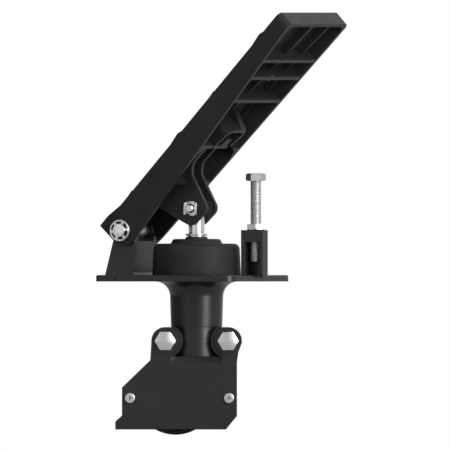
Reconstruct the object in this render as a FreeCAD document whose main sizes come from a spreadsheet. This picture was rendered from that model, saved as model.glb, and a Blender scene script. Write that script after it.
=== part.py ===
import FreeCAD, Part
import math
import os

import Sketcher

# Floor-standing accelerator pedal with a push-rod sensor housing under the floor.
# The origin is on the neck's axis at the underside of the floor plate; +X points to
# the toe end, +Y along the hinge pin, +Z up.  All lengths are in millimetres.

SIZES = {
    # reach of one part of a casting into the next, and of a cut past the surface
    "overlap": 0.3,
    "past": 1.0,
    "press_gap": 0.02,
    # floor plate
    "plate_thick": 4.9,
    "plate_toe_reach": 53.8,
    "plate_heel_reach": 44.4,
    "plate_half_width": 56.3,
    "plate_toe_corner": 10.0,
    "plate_heel_corner": 3.0,
    "plate_edge_round": 1.4,
    "tongue_reach": 74.2,
    "tongue_corner": 3.0,
    "floor_hole_dia": 9.0,
    "floor_hole_span_x": 76.0,
    "floor_hole_span_y": 92.0,
    "floor_hole_shift": 4.7,
    # neck and its two bolt lugs
    "neck_top_radius": 20.3,
    "neck_low_radius": 18.7,
    "neck_step": 0.6,
    "neck_root_round": 11.0,
    "neck_taper_depth": 34.0,
    "neck_length": 56.2,
    "neck_bore_radius": 15.0,
    "neck_floor_thick": 10.0,
    "spigot_radius": 14.5,
    "spigot_length": 4.5,
    "lug_half_span": 23.6,
    "lug_above_end": 11.6,
    "lug_radius": 9.7,
    "lug_front": 8.0,
    "lug_thick": 17.0,
    "housing_turn": 24.0,
    # hinge bracket
    "hinge_back": 51.0,
    "hinge_height": 38.3,
    "bracket_half_width": 21.0,
    "bracket_base_heel": 65.8,
    "bracket_base_toe": 44.1,
    "bracket_shoulder_height": 34.0,
    "bracket_shoulder_heel": 58.2,
    "bracket_shoulder_toe": 41.4,
    "bracket_web_height": 30.4,
    "bracket_foot": 2.2,
    "ear_radius": 8.7,
    "ear_thick": 6.4,
    "bracket_core_height": 24.0,
    "bracket_core_heel": 3.0,
    "bracket_core_wall": 5.0,
    # hinge
    "hinge_pin_dia": 10.0,
    "hinge_pin_overhang": 3.0,
    "bush_wall": 1.5,
    "bush_flange": 1.0,
    "bush_flange_radius": 8.2,
    "bush_inner_end": 2.6,
    "running_gap": 0.05,
    "side_gap": 0.15,
    "push_clip_radius": 8.1,
    "push_clip_slot_wide": 3.2,
    "push_clip_slot_deep": 1.5,
    "push_clip_thick": 1.2,
    "push_clip_slots": 6.0,
    "hinge_boss_radius": 9.0,
    "hinge_boss_proud": 0.4,
    # stop block, stop bolt and lock nut
    "stop_ahead": 48.6,
    "stop_block_long": 17.9,
    "stop_block_wide": 14.4,
    "stop_block_foot": 3.0,
    "stop_block_height": 38.6,
    "stop_block_round": 6.4,
    "stop_window_shift": 0.3,
    "stop_window_long": 11.8,
    "stop_window_height": 29.6,
    "stop_window_wall": 3.2,
    "stop_bolt_dia": 8.0,
    "stop_bolt_end": 14.6,
    "stop_head_under": 75.6,
    "stop_head_thick": 5.5,
    "stop_head_flats": 13.0,
    "lock_nut_thick": 4.4,
    "lock_nut_flats": 13.0,
    "lock_nut_turn": 44.0,
    # treadle, in its own lengthwise frame from the hinge axis
    "tread_lean": 45.45,
    "tread_above_hinge": 13.1,
    "tread_toe_reach": 217.2,
    "tread_heel_reach": 9.8,
    "tread_toe_half_width": 55.0,
    "hinge_seat_in": 0.05888,
    "tread_thick": 3.5,
    "tread_wall": 3.5,
    "tread_edge_round": 1.2,
    "toe_corner": 4.5,
    "cell_corner": 6.5,
    "pedal_cell_corner": 11.0,
    "rim_toe_height": 0.5,
    "rim_slope": 0.0578,
    "heel_depth": 12.3,
    "heel_round": 9.2,
    "heel_flat_end": 4.9,
    "toe_face_lean": 0.7,
    "rib_thick": 3.0,
    "rib_overlap": 0.5,
    "cross_rib_1": 179.5,
    "cross_rib_2": 162.6,
    "cross_rib_3": 139.8,
    "cross_rib_4": 94.5,
    "cross_rib_4_low_rise": 6.0,
    "cross_rib_5": 58.6,
    "long_rib_pitch": 30.0,
    "long_rib_thick": 2.6,
    "long_rib_toe_depth": 10.4,
    "long_rib_heel_depth": 6.3,
    "core_pin_boss_radius": 3.2,
    "core_pin_boss_side": 9.5,
    "ridge_high": 1.3,
    "ridge_low": 0.6,
    "ridge_toeward": 6.3,
    "ridge_heelward": 9.5,
    "ridge_low_toeward": 1.6,
    "ridge_low_heelward": 6.0,
    "ridge_heel": 2.4,
    "ridge_heel_start": 1.8,
    "ridge_heel_end": 20.0,
    "ridge_first": 192.3,
    "ridge_pitch": 104.5,
    "ridge_low_offset": 59.5,
    "cheek_gap": 13.5,
    "cheek_thick": 4.0,
    "cheek_heel_top": 20.5,
    "cheek_heel_bend": 18.0,
    "cheek_heel_bend_rise": 18.8,
    "cheek_foot_heel": 9.4,
    "cheek_foot_toe": 9.4,
    "cheek_below_pin": 10.5,
    "cheek_foot_round": 6.5,
    "cheek_shoulder": 23.2,
    "cheek_shoulder_ahead": 20.5,
    "cheek_elbow_round": 13.0,
    "stop_pad_long": 9.0,
    "stop_pad_half_width": 5.0,
    "stop_pad_gap": 0.15,
    "stop_box_long": 19.6,
    "stop_gusset_foot": 8.1,
    "stop_gusset_near": 4.0,
    "stop_gusset_far": 12.0,
    "stop_box_half_width": 16.0,
    "stop_box_corner": 8.0,
    "stop_box_slope": 0.095,
    "stop_box_wall": 3.0,
    "press_angle": 16.0,
    # push rod
    "rod_dia": 12.0,
    "rod_bevel": 1.5,
    "pin_bevel": 0.6,
    "bolt_lead": 0.8,
    "clevis_height": 54.75,
    "clevis_ahead": 0.0,
    "clevis_pin_dia": 6.0,
    "clevis_slot_gap": 0.3,
    "clevis_pin_end": 2.4,
    "clevis_head_over": 2.0,
    "clevis_pin_head": 2.5,
    "clip_side": 10.9,
    "clip_corner": 1.2,
    "clip_wing_inset": 1.5,
    "clip_wing_high": 1.0,
    "clip_thick": 1.2,
    "rod_top_over": 7.0,
    "rod_foot_drop": 7.8,
    "rod_thread_dia": 8.0,
    "rod_thread_length": 8.0,
    # boot and its ring
    "boot_foot_radius": 33.3,
    "boot_waist_radius": 32.2,
    "boot_shoulder_radius": 30.0,
    "boot_shoulder_height": 28.5,
    "boot_step_radius": 18.7,
    "boot_step_height": 31.9,
    "boot_lip_radius": 7.9,
    "boot_lip_height": 33.5,
    "boot_wall": 2.4,
    "boot_round": 2.2,
    "boot_shoulder_round": 3.5,
    "boot_step_round": 0.9,
    "boot_ring_radius": 8.1,
    "boot_ring_thick": 2.4,
    # guides and springs in the neck
    "plug_flange_radius": 18.5,
    "plug_flange_thick": 3.0,
    "plug_below": 4.0,
    "guide_wall": 2.0,
    "keeper_groove": 1.0,
    "keeper_thick": 1.5,
    "keeper_radius": 8.6,
    "seat_thick": 3.0,
    "seat_radius": 14.4,
    "outer_spring_radius": 12.2,
    "outer_spring_wire": 2.2,
    "outer_spring_turns": 5.0,
    "inner_spring_radius": 8.5,
    "inner_spring_wire": 1.6,
    "inner_spring_turns": 7.0,
    # sensor housing, seen square on to its front
    "house_front": 22.0,
    "house_back": 22.0,
    "cover_thick": 4.0,
    "gasket_thick": 0.8,
    "house_wall": 4.0,
    "ear_round": 10.4,
    "ear_flank_drop": 1.4,
    "ear_waist_in": 1.6,
    "ear_waist_drop": 5.4,
    "ear_foot_drop": 9.4,
    "ear_step_radius": 13.2,
    "house_deck": 6.0,
    "neck_room_gap": 0.2,
    "house_seat_half": 19.1,
    "house_bottom_drop": 54.8,
    "house_left": 56.0,
    "house_right": 30.3,
    "house_left_shoulder": 34.7,
    "house_left_shoulder_drop": 2.7,
    "house_left_knee_drop": 23.3,
    "house_left_foot_drop": 44.3,
    "house_left_toe": 61.0,
    "house_left_toe_drop": 48.8,
    "house_right_waist_drop": 4.2,
    "house_right_ear_rise": 3.3,
    "house_right_ear_side": 31.4,
    "house_right_knee_drop": 44.7,
    "house_right_foot": 22.0,
    "cover_lip": 5.5,
    "cover_lip_deep": 3.3,
    "cover_bevel": 0.8,
    "cover_screw_left": 50.0,
    "cover_screw_right": 24.3,
    "cover_screw_drop": 31.2,
    "cover_screw_dia": 4.0,
    "screw_hole_gap": 0.2,
    "screw_thread_deep": 14.0,
    "cover_screw_head_dia": 7.6,
    "cover_screw_head_thick": 2.4,
    "cover_screw_head_bevel": 0.6,
    "cover_screw_length": 16.0,
    "cover_screw_boss": 4.4,
    "clamp_bolt_dia": 8.0,
    "clamp_bolt_length": 30.0,
    "clamp_head_flats": 13.7,
    "clamp_head_thick": 5.3,
    "clamp_hole_gap": 0.3,
    "thread_gap": 0.05,
    # sensor drive inside the housing
    "shaft_side": 15.8,
    "shaft_drop": 28.0,
    "shaft_dia": 8.0,
    "shaft_front": 17.0,
    "shaft_back": 26.0,
    "shaft_bush_wall": 1.5,
    "shaft_bush_front": 7.0,
    "shaft_bush_back": 10.0,
    "shaft_boss_wall": 2.6,
    "lever_arm": 18.0,
    "lever_thick": 4.5,
    "lever_back": 6.2,
    "lever_hub_radius": 7.6,
    "lever_nose_radius": 5.0,
    "drive_pin_dia": 5.0,
    "drive_pin_gap": 0.2,
    "fork_wide": 18.0,
    "fork_deep": 10.0,
    "fork_under_pin": 6.5,
    "fork_slot_long": 8.4,
    "fork_foot_round": 2.0,
    "fork_top_round": 1.0,
    # round sensor cover on the back
    "sensor_radius": 30.75,
    "sensor_deep": 14.0,
    "sensor_wall": 3.0,
    "sensor_bevel": 1.2,
    "sensor_bolt_circle": 25.6,
    "sensor_screw_dia": 3.0,
    "sensor_screw_count": 3.0,
    "sensor_screw_head": 2.8,
    "sensor_head_thick": 2.0,
    "board_radius": 20.0,
    "board_thick": 1.6,
    "board_post": 1.4,
    "board_post_radius": 2.4,
    "board_post_circle": 15.0,
    "carrier_radius": 9.0,
    "carrier_web": 0.5,
    "carrier_thick": 4.0,
    "magnet_radius": 5.0,
    "magnet_thick": 2.0,
    "socket_wide": 24.0,
    "socket_high": 13.0,
    "socket_deep": 13.0,
    "socket_wall": 1.6,
    "socket_pins": 6.0,
    "socket_pin_side": 0.9,
    "socket_pin_pitch": 3.2,
    "socket_pin_out": 10.0,
    "socket_drop": 11.0,
}

PLANES = {"XY": "XY_Plane", "XZ": "XZ_Plane", "YZ": "YZ_Plane"}
SIXTH_TURN = 60.0


class Size:
    """A length or angle that knows its value and the sheet expression behind it."""

    def __init__(self, value, text):
        self.value = float(value)
        self.text = text

    def __add__(self, other):
        other = as_size(other)
        return Size(self.value + other.value, f"({self.text} + {other.text})")

    def __radd__(self, other):
        return as_size(other) + self

    def __sub__(self, other):
        other = as_size(other)
        return Size(self.value - other.value, f"({self.text} - {other.text})")

    def __rsub__(self, other):
        return as_size(other) - self

    def __mul__(self, other):
        other = as_size(other)
        return Size(self.value * other.value, f"({self.text} * {other.text})")

    def __rmul__(self, other):
        return as_size(other) * self

    def __truediv__(self, other):
        other = as_size(other)
        return Size(self.value / other.value, f"({self.text} / {other.text})")

    def __neg__(self):
        return Size(-self.value, f"(0 - {self.text})")


def as_size(number):
    return number if isinstance(number, Size) else Size(number, repr(float(number)))


def sine(angle):
    return Size(math.sin(math.radians(angle.value)), f"sin({angle.text} * 1 deg)")


def cosine(angle):
    return Size(math.cos(math.radians(angle.value)), f"cos({angle.text} * 1 deg)")


def tangent(angle):
    return Size(math.tan(math.radians(angle.value)), f"tan({angle.text} * 1 deg)")


def root(size):
    return Size(math.sqrt(size.value), f"sqrt({size.text})")


def arc_sine(ratio):
    return Size(math.degrees(math.asin(ratio.value)), f"(asin({ratio.text}) / 1 deg)")


def arc_tangent(rise, run):
    angle = math.degrees(math.atan2(rise.value, run.value))
    return Size(angle, f"(atan2({rise.text}; {run.text}) / 1 deg)")


def fill_sheet(doc):
    sheet = doc.addObject("Spreadsheet::Sheet", "Sizes")
    for row, (name, number) in enumerate(SIZES.items(), start=1):
        sheet.set(f"A{row}", name)
        sheet.set(f"B{row}", str(number))
        sheet.setAlias(f"B{row}", name)
    doc.recompute()
    return sheet


def size(name):
    return Size(SIZES[name], "Sizes." + name)


def under_neck(name):
    """Depth under the floor plate of a level that is measured down from the neck's end."""
    return size("neck_length") + size(name)


def lug_depth():
    """Depth of the two clamp bolts under the floor plate."""
    return size("neck_length") - size("lug_above_end")


# Drawing and feature helpers.

def new_body(doc, label):
    body = doc.addObject("PartDesign::Body", label)
    body.Label = label
    return body


def origin_plane(body, plane):
    return [item for item in body.Origin.OriginFeatures if item.Role == PLANES[plane]][0]


def sketch_on(body, name, plane, lift=0.0, turn=None):
    """Open a sketch on an origin plane, lifted along its normal and turned about its upright."""
    sketch = body.newObject("Sketcher::SketchObject", name)
    sketch.AttachmentSupport = (origin_plane(body, plane), [""])
    sketch.MapMode = "FlatFace"
    lift = as_size(lift)
    if turn is None:
        sketch.AttachmentOffset = FreeCAD.Placement(FreeCAD.Vector(0, 0, lift.value), FreeCAD.Rotation())
        sketch.setExpression("AttachmentOffset.Base.z", lift.text)
        return sketch
    side, ahead = lift * sine(turn), lift * cosine(turn)
    sketch.AttachmentOffset = FreeCAD.Placement(
        FreeCAD.Vector(side.value, 0, ahead.value), FreeCAD.Rotation(FreeCAD.Vector(0, 1, 0), turn.value))
    sketch.setExpression("AttachmentOffset.Base.x", side.text)
    sketch.setExpression("AttachmentOffset.Base.z", ahead.text)
    return sketch


def bind(sketch, kind, geometry, point, number):
    if kind == "Radius":
        index = sketch.addConstraint(Sketcher.Constraint(kind, geometry, number.value))
    else:
        index = sketch.addConstraint(Sketcher.Constraint(kind, -1, 1, geometry, point, number.value))
    sketch.setExpression(f"Constraints[{index}]", number.text)


def polygon(sketch, points):
    """Draw a closed outline, counter-clockwise; a point's third number rounds its corner."""
    corners = [rounded_corner(points, index) for index in range(len(points))]
    lines = []
    for index, corner in enumerate(corners):
        start, end = corner[1], corners[(index + 1) % len(corners)][0]
        lines.append(sketch.addGeometry(Part.LineSegment(as_vector(start), as_vector(end))))
    for index, (entry, exit_point, half_way, radius) in enumerate(corners):
        before, after = lines[index - 1], lines[index]
        bind(sketch, "DistanceX", after, 1, exit_point[0])
        bind(sketch, "DistanceY", after, 1, exit_point[1])
        if radius is None:
            sketch.addConstraint(Sketcher.Constraint("Coincident", before, 2, after, 1))
            continue
        bind(sketch, "DistanceX", before, 2, entry[0])
        bind(sketch, "DistanceY", before, 2, entry[1])
        first, last = (entry, exit_point) if turns_left(points, index) else (exit_point, entry)
        arc = sketch.addGeometry(Part.ArcOfCircle(as_vector(first), as_vector(half_way), as_vector(last)))
        ends = (1, 2) if turns_left(points, index) else (2, 1)
        sketch.addConstraint(Sketcher.Constraint("Coincident", before, 2, arc, ends[0]))
        sketch.addConstraint(Sketcher.Constraint("Coincident", after, 1, arc, ends[1]))
        bind(sketch, "Radius", arc, 0, radius)


def as_vector(point):
    return FreeCAD.Vector(point[0].value, point[1].value, 0)


def direction(start, end):
    across, up = as_size(end[0]) - start[0], as_size(end[1]) - start[1]
    reach = root(across * across + up * up)
    return across / reach, up / reach


def turns_left(points, index):
    before, here, after = points[index - 1], points[index], points[(index + 1) % len(points)]
    first, second = direction(before, here), direction(here, after)
    return first[0].value * second[1].value - first[1].value * second[0].value > 0


def rounded_corner(points, index):
    """Give where the outline leaves its straight lines at one corner, and the arc between."""
    here = (as_size(points[index][0]), as_size(points[index][1]))
    if len(points[index]) == 2:
        return here, here, here, None
    radius = as_size(points[index][2])
    back, ahead = direction(here, points[index - 1]), direction(here, points[(index + 1) % len(points)])
    dot = back[0] * ahead[0] + back[1] * ahead[1]
    reach = radius * root((1 + dot) / (1 - dot))
    entry = (here[0] + back[0] * reach, here[1] + back[1] * reach)
    exit_point = (here[0] + ahead[0] * reach, here[1] + ahead[1] * reach)
    centre_reach = radius / root((1 - dot) / 2)
    spread = root(2 + 2 * dot)
    inwards = (back[0] + ahead[0]) / spread, (back[1] + ahead[1]) / spread
    half_reach = centre_reach - radius
    half_way = (here[0] + inwards[0] * half_reach, here[1] + inwards[1] * half_reach)
    return entry, exit_point, half_way, radius


def circle(sketch, across, up, radius):
    across, up, radius = as_size(across), as_size(up), as_size(radius)
    centre = FreeCAD.Vector(across.value, up.value, 0)
    line = sketch.addGeometry(Part.Circle(centre, FreeCAD.Vector(0, 0, 1), radius.value))
    bind(sketch, "Radius", line, 0, radius)
    bind(sketch, "DistanceX", line, 3, across)
    bind(sketch, "DistanceY", line, 3, up)


def rectangle(sketch, low_across, low_up, high_across, high_up):
    polygon(sketch, [(low_across, low_up), (high_across, low_up),
                     (high_across, high_up), (low_across, high_up)])


def hexagon(sketch, across, up, flats, turn):
    """Draw a hexagon of the given width across flats, one corner at the turn angle."""
    reach = flats / (2 * cosine(as_size(SIXTH_TURN / 2)))
    corners = [turn + as_size(SIXTH_TURN * step) for step in range(6)]
    polygon(sketch, [(across + reach * cosine(angle), up + reach * sine(angle)) for angle in corners])


def raised(body, sketch, height, name, backwards=False):
    pad = body.newObject("PartDesign::Pad", name)
    pad.Profile = sketch
    pad.setExpression("Length", as_size(height).text)
    pad.Reversed = backwards
    body.Document.recompute()
    return pad


def cut(body, sketch, name, depth=None, backwards=False):
    before = body.Shape.Volume
    pocket = body.newObject("PartDesign::Pocket", name)
    pocket.Profile = sketch
    if depth is None:
        pocket.Type = "ThroughAll"
    else:
        pocket.setExpression("Length", as_size(depth).text)
    pocket.Reversed = backwards
    body.Document.recompute()
    if body.Shape.Volume > before - 1e-3:
        raise ValueError(f"{body.Label}: {name} removes nothing")
    return pocket


def turned(body, name, points, groove=False):
    """Turn a half-section of (radius, height) points about the upright axis."""
    sketch = sketch_on(body, name + "_section", "XZ")
    polygon(sketch, points)
    kind = "PartDesign::Groove" if groove else "PartDesign::Revolution"
    feature = body.newObject(kind, name)
    feature.Profile = sketch
    feature.ReferenceAxis = (sketch, ["V_Axis"])
    feature.Angle = 360.0
    body.Document.recompute()
    return feature


def edges_where(shape, test):
    return [f"Edge{index}" for index, edge in enumerate(shape.Edges, start=1) if test(edge)]


def dressed(body, kind, name, amount, test):
    """Round or bevel the edges of the body's present tip that pass the test."""
    base = body.Tip
    names = edges_where(base.Shape, test)
    if not names:
        raise ValueError(f"{body.Label}: {name} finds no edge")
    feature = body.newObject("PartDesign::" + kind, name)
    feature.Base = (base, names)
    feature.setExpression("Radius" if kind == "Fillet" else "Size", as_size(amount).text)
    body.Document.recompute()
    if "Invalid" in feature.State:
        raise ValueError(f"{body.Label}: {name} can't be made")
    return feature


def middle(edge):
    return edge.valueAt((edge.FirstParameter + edge.LastParameter) / 2)


def upright(edge):
    ends = edge.BoundBox
    return ends.XLength < 1e-4 and ends.YLength < 1e-4 and ends.ZLength > 0.5


def placed(body, across=0.0, along=0.0, up=0.0, rotation=None):
    base = FreeCAD.Vector(as_size(across).value, as_size(along).value, as_size(up).value)
    body.Placement = FreeCAD.Placement(base, rotation or FreeCAD.Rotation())
    for axis, number in zip("xyz", (across, along, up)):
        body.setExpression("Placement.Base." + axis, as_size(number).text)
    return body


def about_y(angle):
    return FreeCAD.Rotation(FreeCAD.Vector(0, 1, 0), angle.value)


def hinge_wise():
    """Turn a piece made along +Z so that it lies along +Y."""
    return FreeCAD.Rotation(FreeCAD.Vector(1, 0, 0), -90.0)


def face_on():
    """Turn a piece drawn on its front (across, up, towards the viewer) to the housing's own front."""
    turn = math.radians(size("housing_turn").value)
    matrix = FreeCAD.Matrix(
        math.cos(turn), 0, math.sin(turn), 0,
        math.sin(turn), 0, -math.cos(turn), 0,
        0, 1, 0, 0,
        0, 0, 0, 1)
    return FreeCAD.Placement(matrix).Rotation


# Sizes worked out from the sheet, shared by mating pieces.

def clevis_ahead_of_hinge():
    return size("hinge_back") + size("clevis_ahead")


def clevis_above_hinge():
    return size("clevis_height") - size("hinge_height")


def clevis_rest_angle():
    return arc_tangent(clevis_above_hinge(), clevis_ahead_of_hinge())


def rod_travel():
    """Distance the rod goes down while the treadle turns through its working angle."""
    rest = clevis_rest_angle()
    return clevis_ahead_of_hinge() * (tangent(rest) - tangent(rest - size("press_angle")))


def lever_rest_angle():
    return arc_sine(rod_travel() / (2 * size("lever_arm")))


def drive_pin_height():
    return -under_neck("shaft_drop") + size("lever_arm") * sine(lever_rest_angle())


def drive_pin_side():
    return -size("shaft_side") + size("lever_arm") * cosine(lever_rest_angle())


def in_treadle(ahead, above):
    """Give a point, measured from the hinge axis in the pedal's frame, in the treadle's frame."""
    lean = size("tread_lean")
    lengthwise = ahead * cosine(lean) + above * sine(lean)
    outwards = above * cosine(lean) - ahead * sine(lean)
    return lengthwise, outwards


def pressed_treadle_point(ahead):
    """Give the stop bolt's top, at a distance ahead of the hinge, in the fully pressed treadle's frame."""
    lean = size("tread_lean") - size("press_angle")
    above = size("stop_head_under") + size("stop_head_thick") - size("hinge_height")
    lengthwise = ahead * cosine(lean) + above * sine(lean)
    return lengthwise, above * cosine(lean) - ahead * sine(lean)


def stop_contact():
    """Where the bolt head's heelward corner comes to the treadle at full travel."""
    corner = size("stop_head_flats") / (2 * cosine(as_size(30.0)))
    return pressed_treadle_point(size("stop_ahead") + size("hinge_back") - corner)


def stop_pad_level():
    """Height of the stop pad in the treadle's frame, just clear of the bolt head when pressed."""
    return stop_contact()[1] + size("stop_pad_gap")


def rim_level(lengthwise):
    return size("rim_toe_height") - (size("tread_toe_reach") - lengthwise) * size("rim_slope")


def hinge_half_width():
    """Half the treadle's width at the hinge: its walls just clear the flanges of the bushes."""
    seat = size("bracket_half_width") + size("bush_flange") + size("side_gap")
    return seat + size("tread_wall") - size("hinge_seat_in")


def half_width_at(lengthwise):
    low, high = hinge_half_width(), size("tread_toe_half_width")
    return low + (high - low) * lengthwise / size("tread_toe_reach")


def hinge_boss_face():
    """Distance of the flat around the hinge hole from the middle of the treadle."""
    return half_width_at(size("hinge_boss_radius")) + size("hinge_boss_proud")


def rod_bore_radius():
    return size("rod_dia") / 2 + size("running_gap")


# Floor plate, neck, hinge bracket and stop block: one casting.

def floor_plate(doc):
    body = new_body(doc, "floor_plate")
    thick = size("plate_thick")
    toe, heel, side = size("plate_toe_reach"), size("plate_heel_reach"), size("plate_half_width")
    tongue, narrow = size("tongue_reach"), size("bracket_half_width")
    sketch = sketch_on(body, "plate_outline", "XY")
    toe_corner, heel_corner = size("plate_toe_corner"), size("plate_heel_corner")
    tongue_corner = size("tongue_corner")
    polygon(sketch, [
        (-tongue, -narrow, tongue_corner), (-heel, -narrow), (-heel, -side, heel_corner),
        (toe, -side, toe_corner), (toe, side, toe_corner), (-heel, side, heel_corner),
        (-heel, narrow), (-tongue, narrow, tongue_corner)])
    raised(body, sketch, thick, "plate")
    dressed(body, "Fillet", "top_edge", size("plate_edge_round"),
            lambda edge: middle(edge).z > thick.value - 0.01)
    add_neck(body)
    add_bracket(body)
    add_stop_block(body)
    drill_floor_holes(body)
    return placed(body)


def add_neck(body):
    top, low = size("neck_top_radius"), size("neck_low_radius")
    length, taper, thick = size("neck_length"), size("neck_taper_depth"), size("plate_thick")
    turned(body, "neck", [(0, thick), (top, thick), (top, 0), (low + size("neck_step"), -taper),
                          (low, -taper), (low, -length), (0, -length)])
    dressed(body, "Fillet", "neck_root", size("neck_root_round"),
            lambda edge: abs(edge.BoundBox.ZLength) < 1e-4 and abs(middle(edge).z) < 1e-3
            and abs(math.hypot(middle(edge).x, middle(edge).y) - top.value) < 0.05)
    add_lugs(body)
    spigot = size("spigot_length")
    sketch = sketch_on(body, "spigot_outline", "XY", -length)
    circle(sketch, 0, 0, size("spigot_radius"))
    raised(body, sketch, spigot, "spigot", backwards=True)
    bore, floor = size("neck_bore_radius"), size("neck_floor_thick")
    sketch = sketch_on(body, "neck_bore_outline", "XY", thick)
    circle(sketch, 0, 0, bore)
    cut(body, sketch, "neck_bore", thick + length - floor)
    sketch = sketch_on(body, "guide_bore_outline", "XY", thick)
    circle(sketch, 0, 0, rod_bore_radius() + size("guide_wall"))
    cut(body, sketch, "guide_bore")


def add_lugs(body):
    """Two lugs on the neck take the bolts of the sensor housing; both are square to its front."""
    turn, span, depth = size("housing_turn"), size("lug_half_span"), lug_depth()
    front, thick, radius = size("lug_front"), size("lug_thick"), size("lug_radius")
    sketch = sketch_on(body, "lug_web_outline", "XZ", front - thick, turn)
    rectangle(sketch, -span, -depth - radius, span, -depth + radius)
    raised(body, sketch, thick, "lug_web")
    for name, side in (("left", -1), ("right", 1)):
        sketch = sketch_on(body, name + "_lug_outline", "XZ", front - thick, turn)
        circle(sketch, side * span, -depth, radius)
        raised(body, sketch, thick, name + "_lug")
    sketch = sketch_on(body, "lug_thread_outline", "XZ", front, turn)
    for side in (-1, 1):
        circle(sketch, side * span, -depth, size("clamp_bolt_dia") / 2 + size("thread_gap"))
    cut(body, sketch, "lug_threads", thick)


def add_bracket(body):
    back, height = size("hinge_back"), size("hinge_height")
    half, thick = size("bracket_half_width"), size("plate_thick")
    web, ear = size("bracket_web_height"), size("ear_thick")
    shoulder = size("bracket_shoulder_height")
    side_view = [
        (-size("bracket_base_heel"), 0), (-size("bracket_base_toe"), 0),
        (-size("bracket_base_toe"), thick), (-size("bracket_shoulder_toe"), shoulder),
        (-size("bracket_shoulder_heel"), shoulder), (-size("bracket_base_heel"), thick)]
    sketch = sketch_on(body, "bracket_outline", "XZ", -half)
    polygon(sketch, side_view)
    raised(body, sketch, half * 2, "bracket")
    sketch = sketch_on(body, "ear_outline", "XZ", -half)
    circle(sketch, -back, height, size("ear_radius"))
    raised(body, sketch, half * 2, "ears")
    sketch = sketch_on(body, "fork_outline", "YZ", -size("bracket_base_heel") - 1)
    rectangle(sketch, ear - half, web, half - ear, height + size("ear_radius") + 1)
    cut(body, sketch, "fork", size("bracket_base_heel"), backwards=True)
    foot = size("bracket_foot")
    sketch = sketch_on(body, "foot_outline", "XZ", -half)
    toe = size("bracket_base_toe")
    sunk, inside = thick - size("past"), -toe - size("past")
    polygon(sketch, [(inside, sunk), (foot - toe, sunk), (foot - toe, thick), (-toe, thick + foot),
                     (inside, thick + foot)])
    raised(body, sketch, half * 2, "foot")
    sketch = sketch_on(body, "hinge_bore_outline", "XZ", half + 1)
    circle(sketch, -back, height, size("hinge_pin_dia") / 2 + size("running_gap") + size("bush_wall"))
    cut(body, sketch, "hinge_bores")
    wall = size("bracket_core_wall")
    sketch = sketch_on(body, "core_outline", "XY")
    heel_wall = wall + size("bracket_core_heel")
    rectangle(sketch, heel_wall - size("bracket_base_heel"), wall - half, -size("bracket_base_toe") - wall,
              half - wall)
    cut(body, sketch, "core", size("bracket_core_height"), backwards=True)


def add_stop_block(body):
    ahead, foot = size("stop_ahead"), size("stop_block_foot")
    long_half, wide_half = size("stop_block_long") / 2, size("stop_block_wide") / 2
    top = size("stop_block_height")
    sketch = sketch_on(body, "stop_block_outline", "XY", foot)
    curve = size("stop_block_round")
    polygon(sketch, [(ahead - long_half, -wide_half), (ahead + long_half, -wide_half),
                     (ahead + long_half, wide_half, curve), (ahead - long_half, wide_half, curve)])
    raised(body, sketch, top - foot, "stop_block")
    low, high = size("plate_thick"), size("stop_window_height")
    window, shift = size("stop_window_long") / 2, size("stop_window_shift")
    sketch = sketch_on(body, "stop_window_outline", "XZ", wide_half)
    rectangle(sketch, ahead + shift - window, low, ahead + shift + window, high)
    cut(body, sketch, "stop_window", size("stop_block_wide") - size("stop_window_wall"))
    sketch = sketch_on(body, "stop_thread_outline", "XY", top)
    circle(sketch, ahead, 0, size("stop_bolt_dia") / 2 + size("thread_gap"))
    cut(body, sketch, "stop_thread", top - high + size("past"))


def drill_floor_holes(body):
    shift = size("floor_hole_shift")
    span_x, span_y = size("floor_hole_span_x") / 2, size("floor_hole_span_y") / 2
    sketch = sketch_on(body, "floor_hole_outline", "XY", size("plate_thick"))
    circle(sketch, shift - span_x, -span_y, size("floor_hole_dia") / 2)
    first = cut(body, sketch, "floor_hole")
    rows = body.newObject("PartDesign::MultiTransform", "floor_holes")
    rows.Originals = [first]
    along = body.newObject("PartDesign::LinearPattern", "floor_holes_lengthwise")
    along.Direction = (sketch, ["H_Axis"])
    along.setExpression("Length", size("floor_hole_span_x").text)
    along.Occurrences = 2
    across = body.newObject("PartDesign::LinearPattern", "floor_holes_crosswise")
    across.Direction = (sketch, ["V_Axis"])
    across.setExpression("Length", size("floor_hole_span_y").text)
    across.Occurrences = 2
    rows.Transformations = [along, across]
    body.Tip = rows
    body.Document.recompute()


# Treadle: a ribbed moulding, open underneath, drawn in its own frame along the tread.

def treadle(doc):
    body = new_body(doc, "treadle")
    toe, heel, top = size("tread_toe_reach"), size("tread_heel_reach"), size("tread_above_hinge")
    wide = size("tread_toe_half_width")
    sketch = sketch_on(body, "side_outline", "XZ", -wide)
    under = size("heel_depth")
    polygon(sketch, [
        (-heel, top), (-heel, -under, size("heel_round")), (size("heel_flat_end"), -under),
        (toe - size("toe_face_lean"), size("rim_toe_height")), (toe, top)])
    raised(body, sketch, wide * 2, "blank")
    trim_sides(body)
    dressed(body, "Fillet", "toe_corners", size("toe_corner"), is_toe_corner)
    dressed(body, "Fillet", "tread_edges", size("tread_edge_round"), is_outer_top_edge)
    add_ridges(body)
    boss = size("hinge_boss_radius")
    sketch = sketch_on(body, "hinge_boss_outline", "XZ", -hinge_boss_face())
    circle(sketch, 0, 0, boss)
    raised(body, sketch, hinge_boss_face() * 2, "hinge_boss")
    open_cells(body)
    add_long_ribs(body)
    add_cheeks(body)
    add_stop_box(body)
    lower_cross_rib_4(body)
    add_core_pin_boss(body)
    sketch = sketch_on(body, "hinge_hole_outline", "XZ", wide + 1)
    circle(sketch, 0, 0, size("hinge_pin_dia") / 2 + size("thread_gap"))
    cut(body, sketch, "hinge_holes")
    placed(body, -size("hinge_back"), 0, size("hinge_height"), about_y(-size("tread_lean")))
    return body


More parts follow.
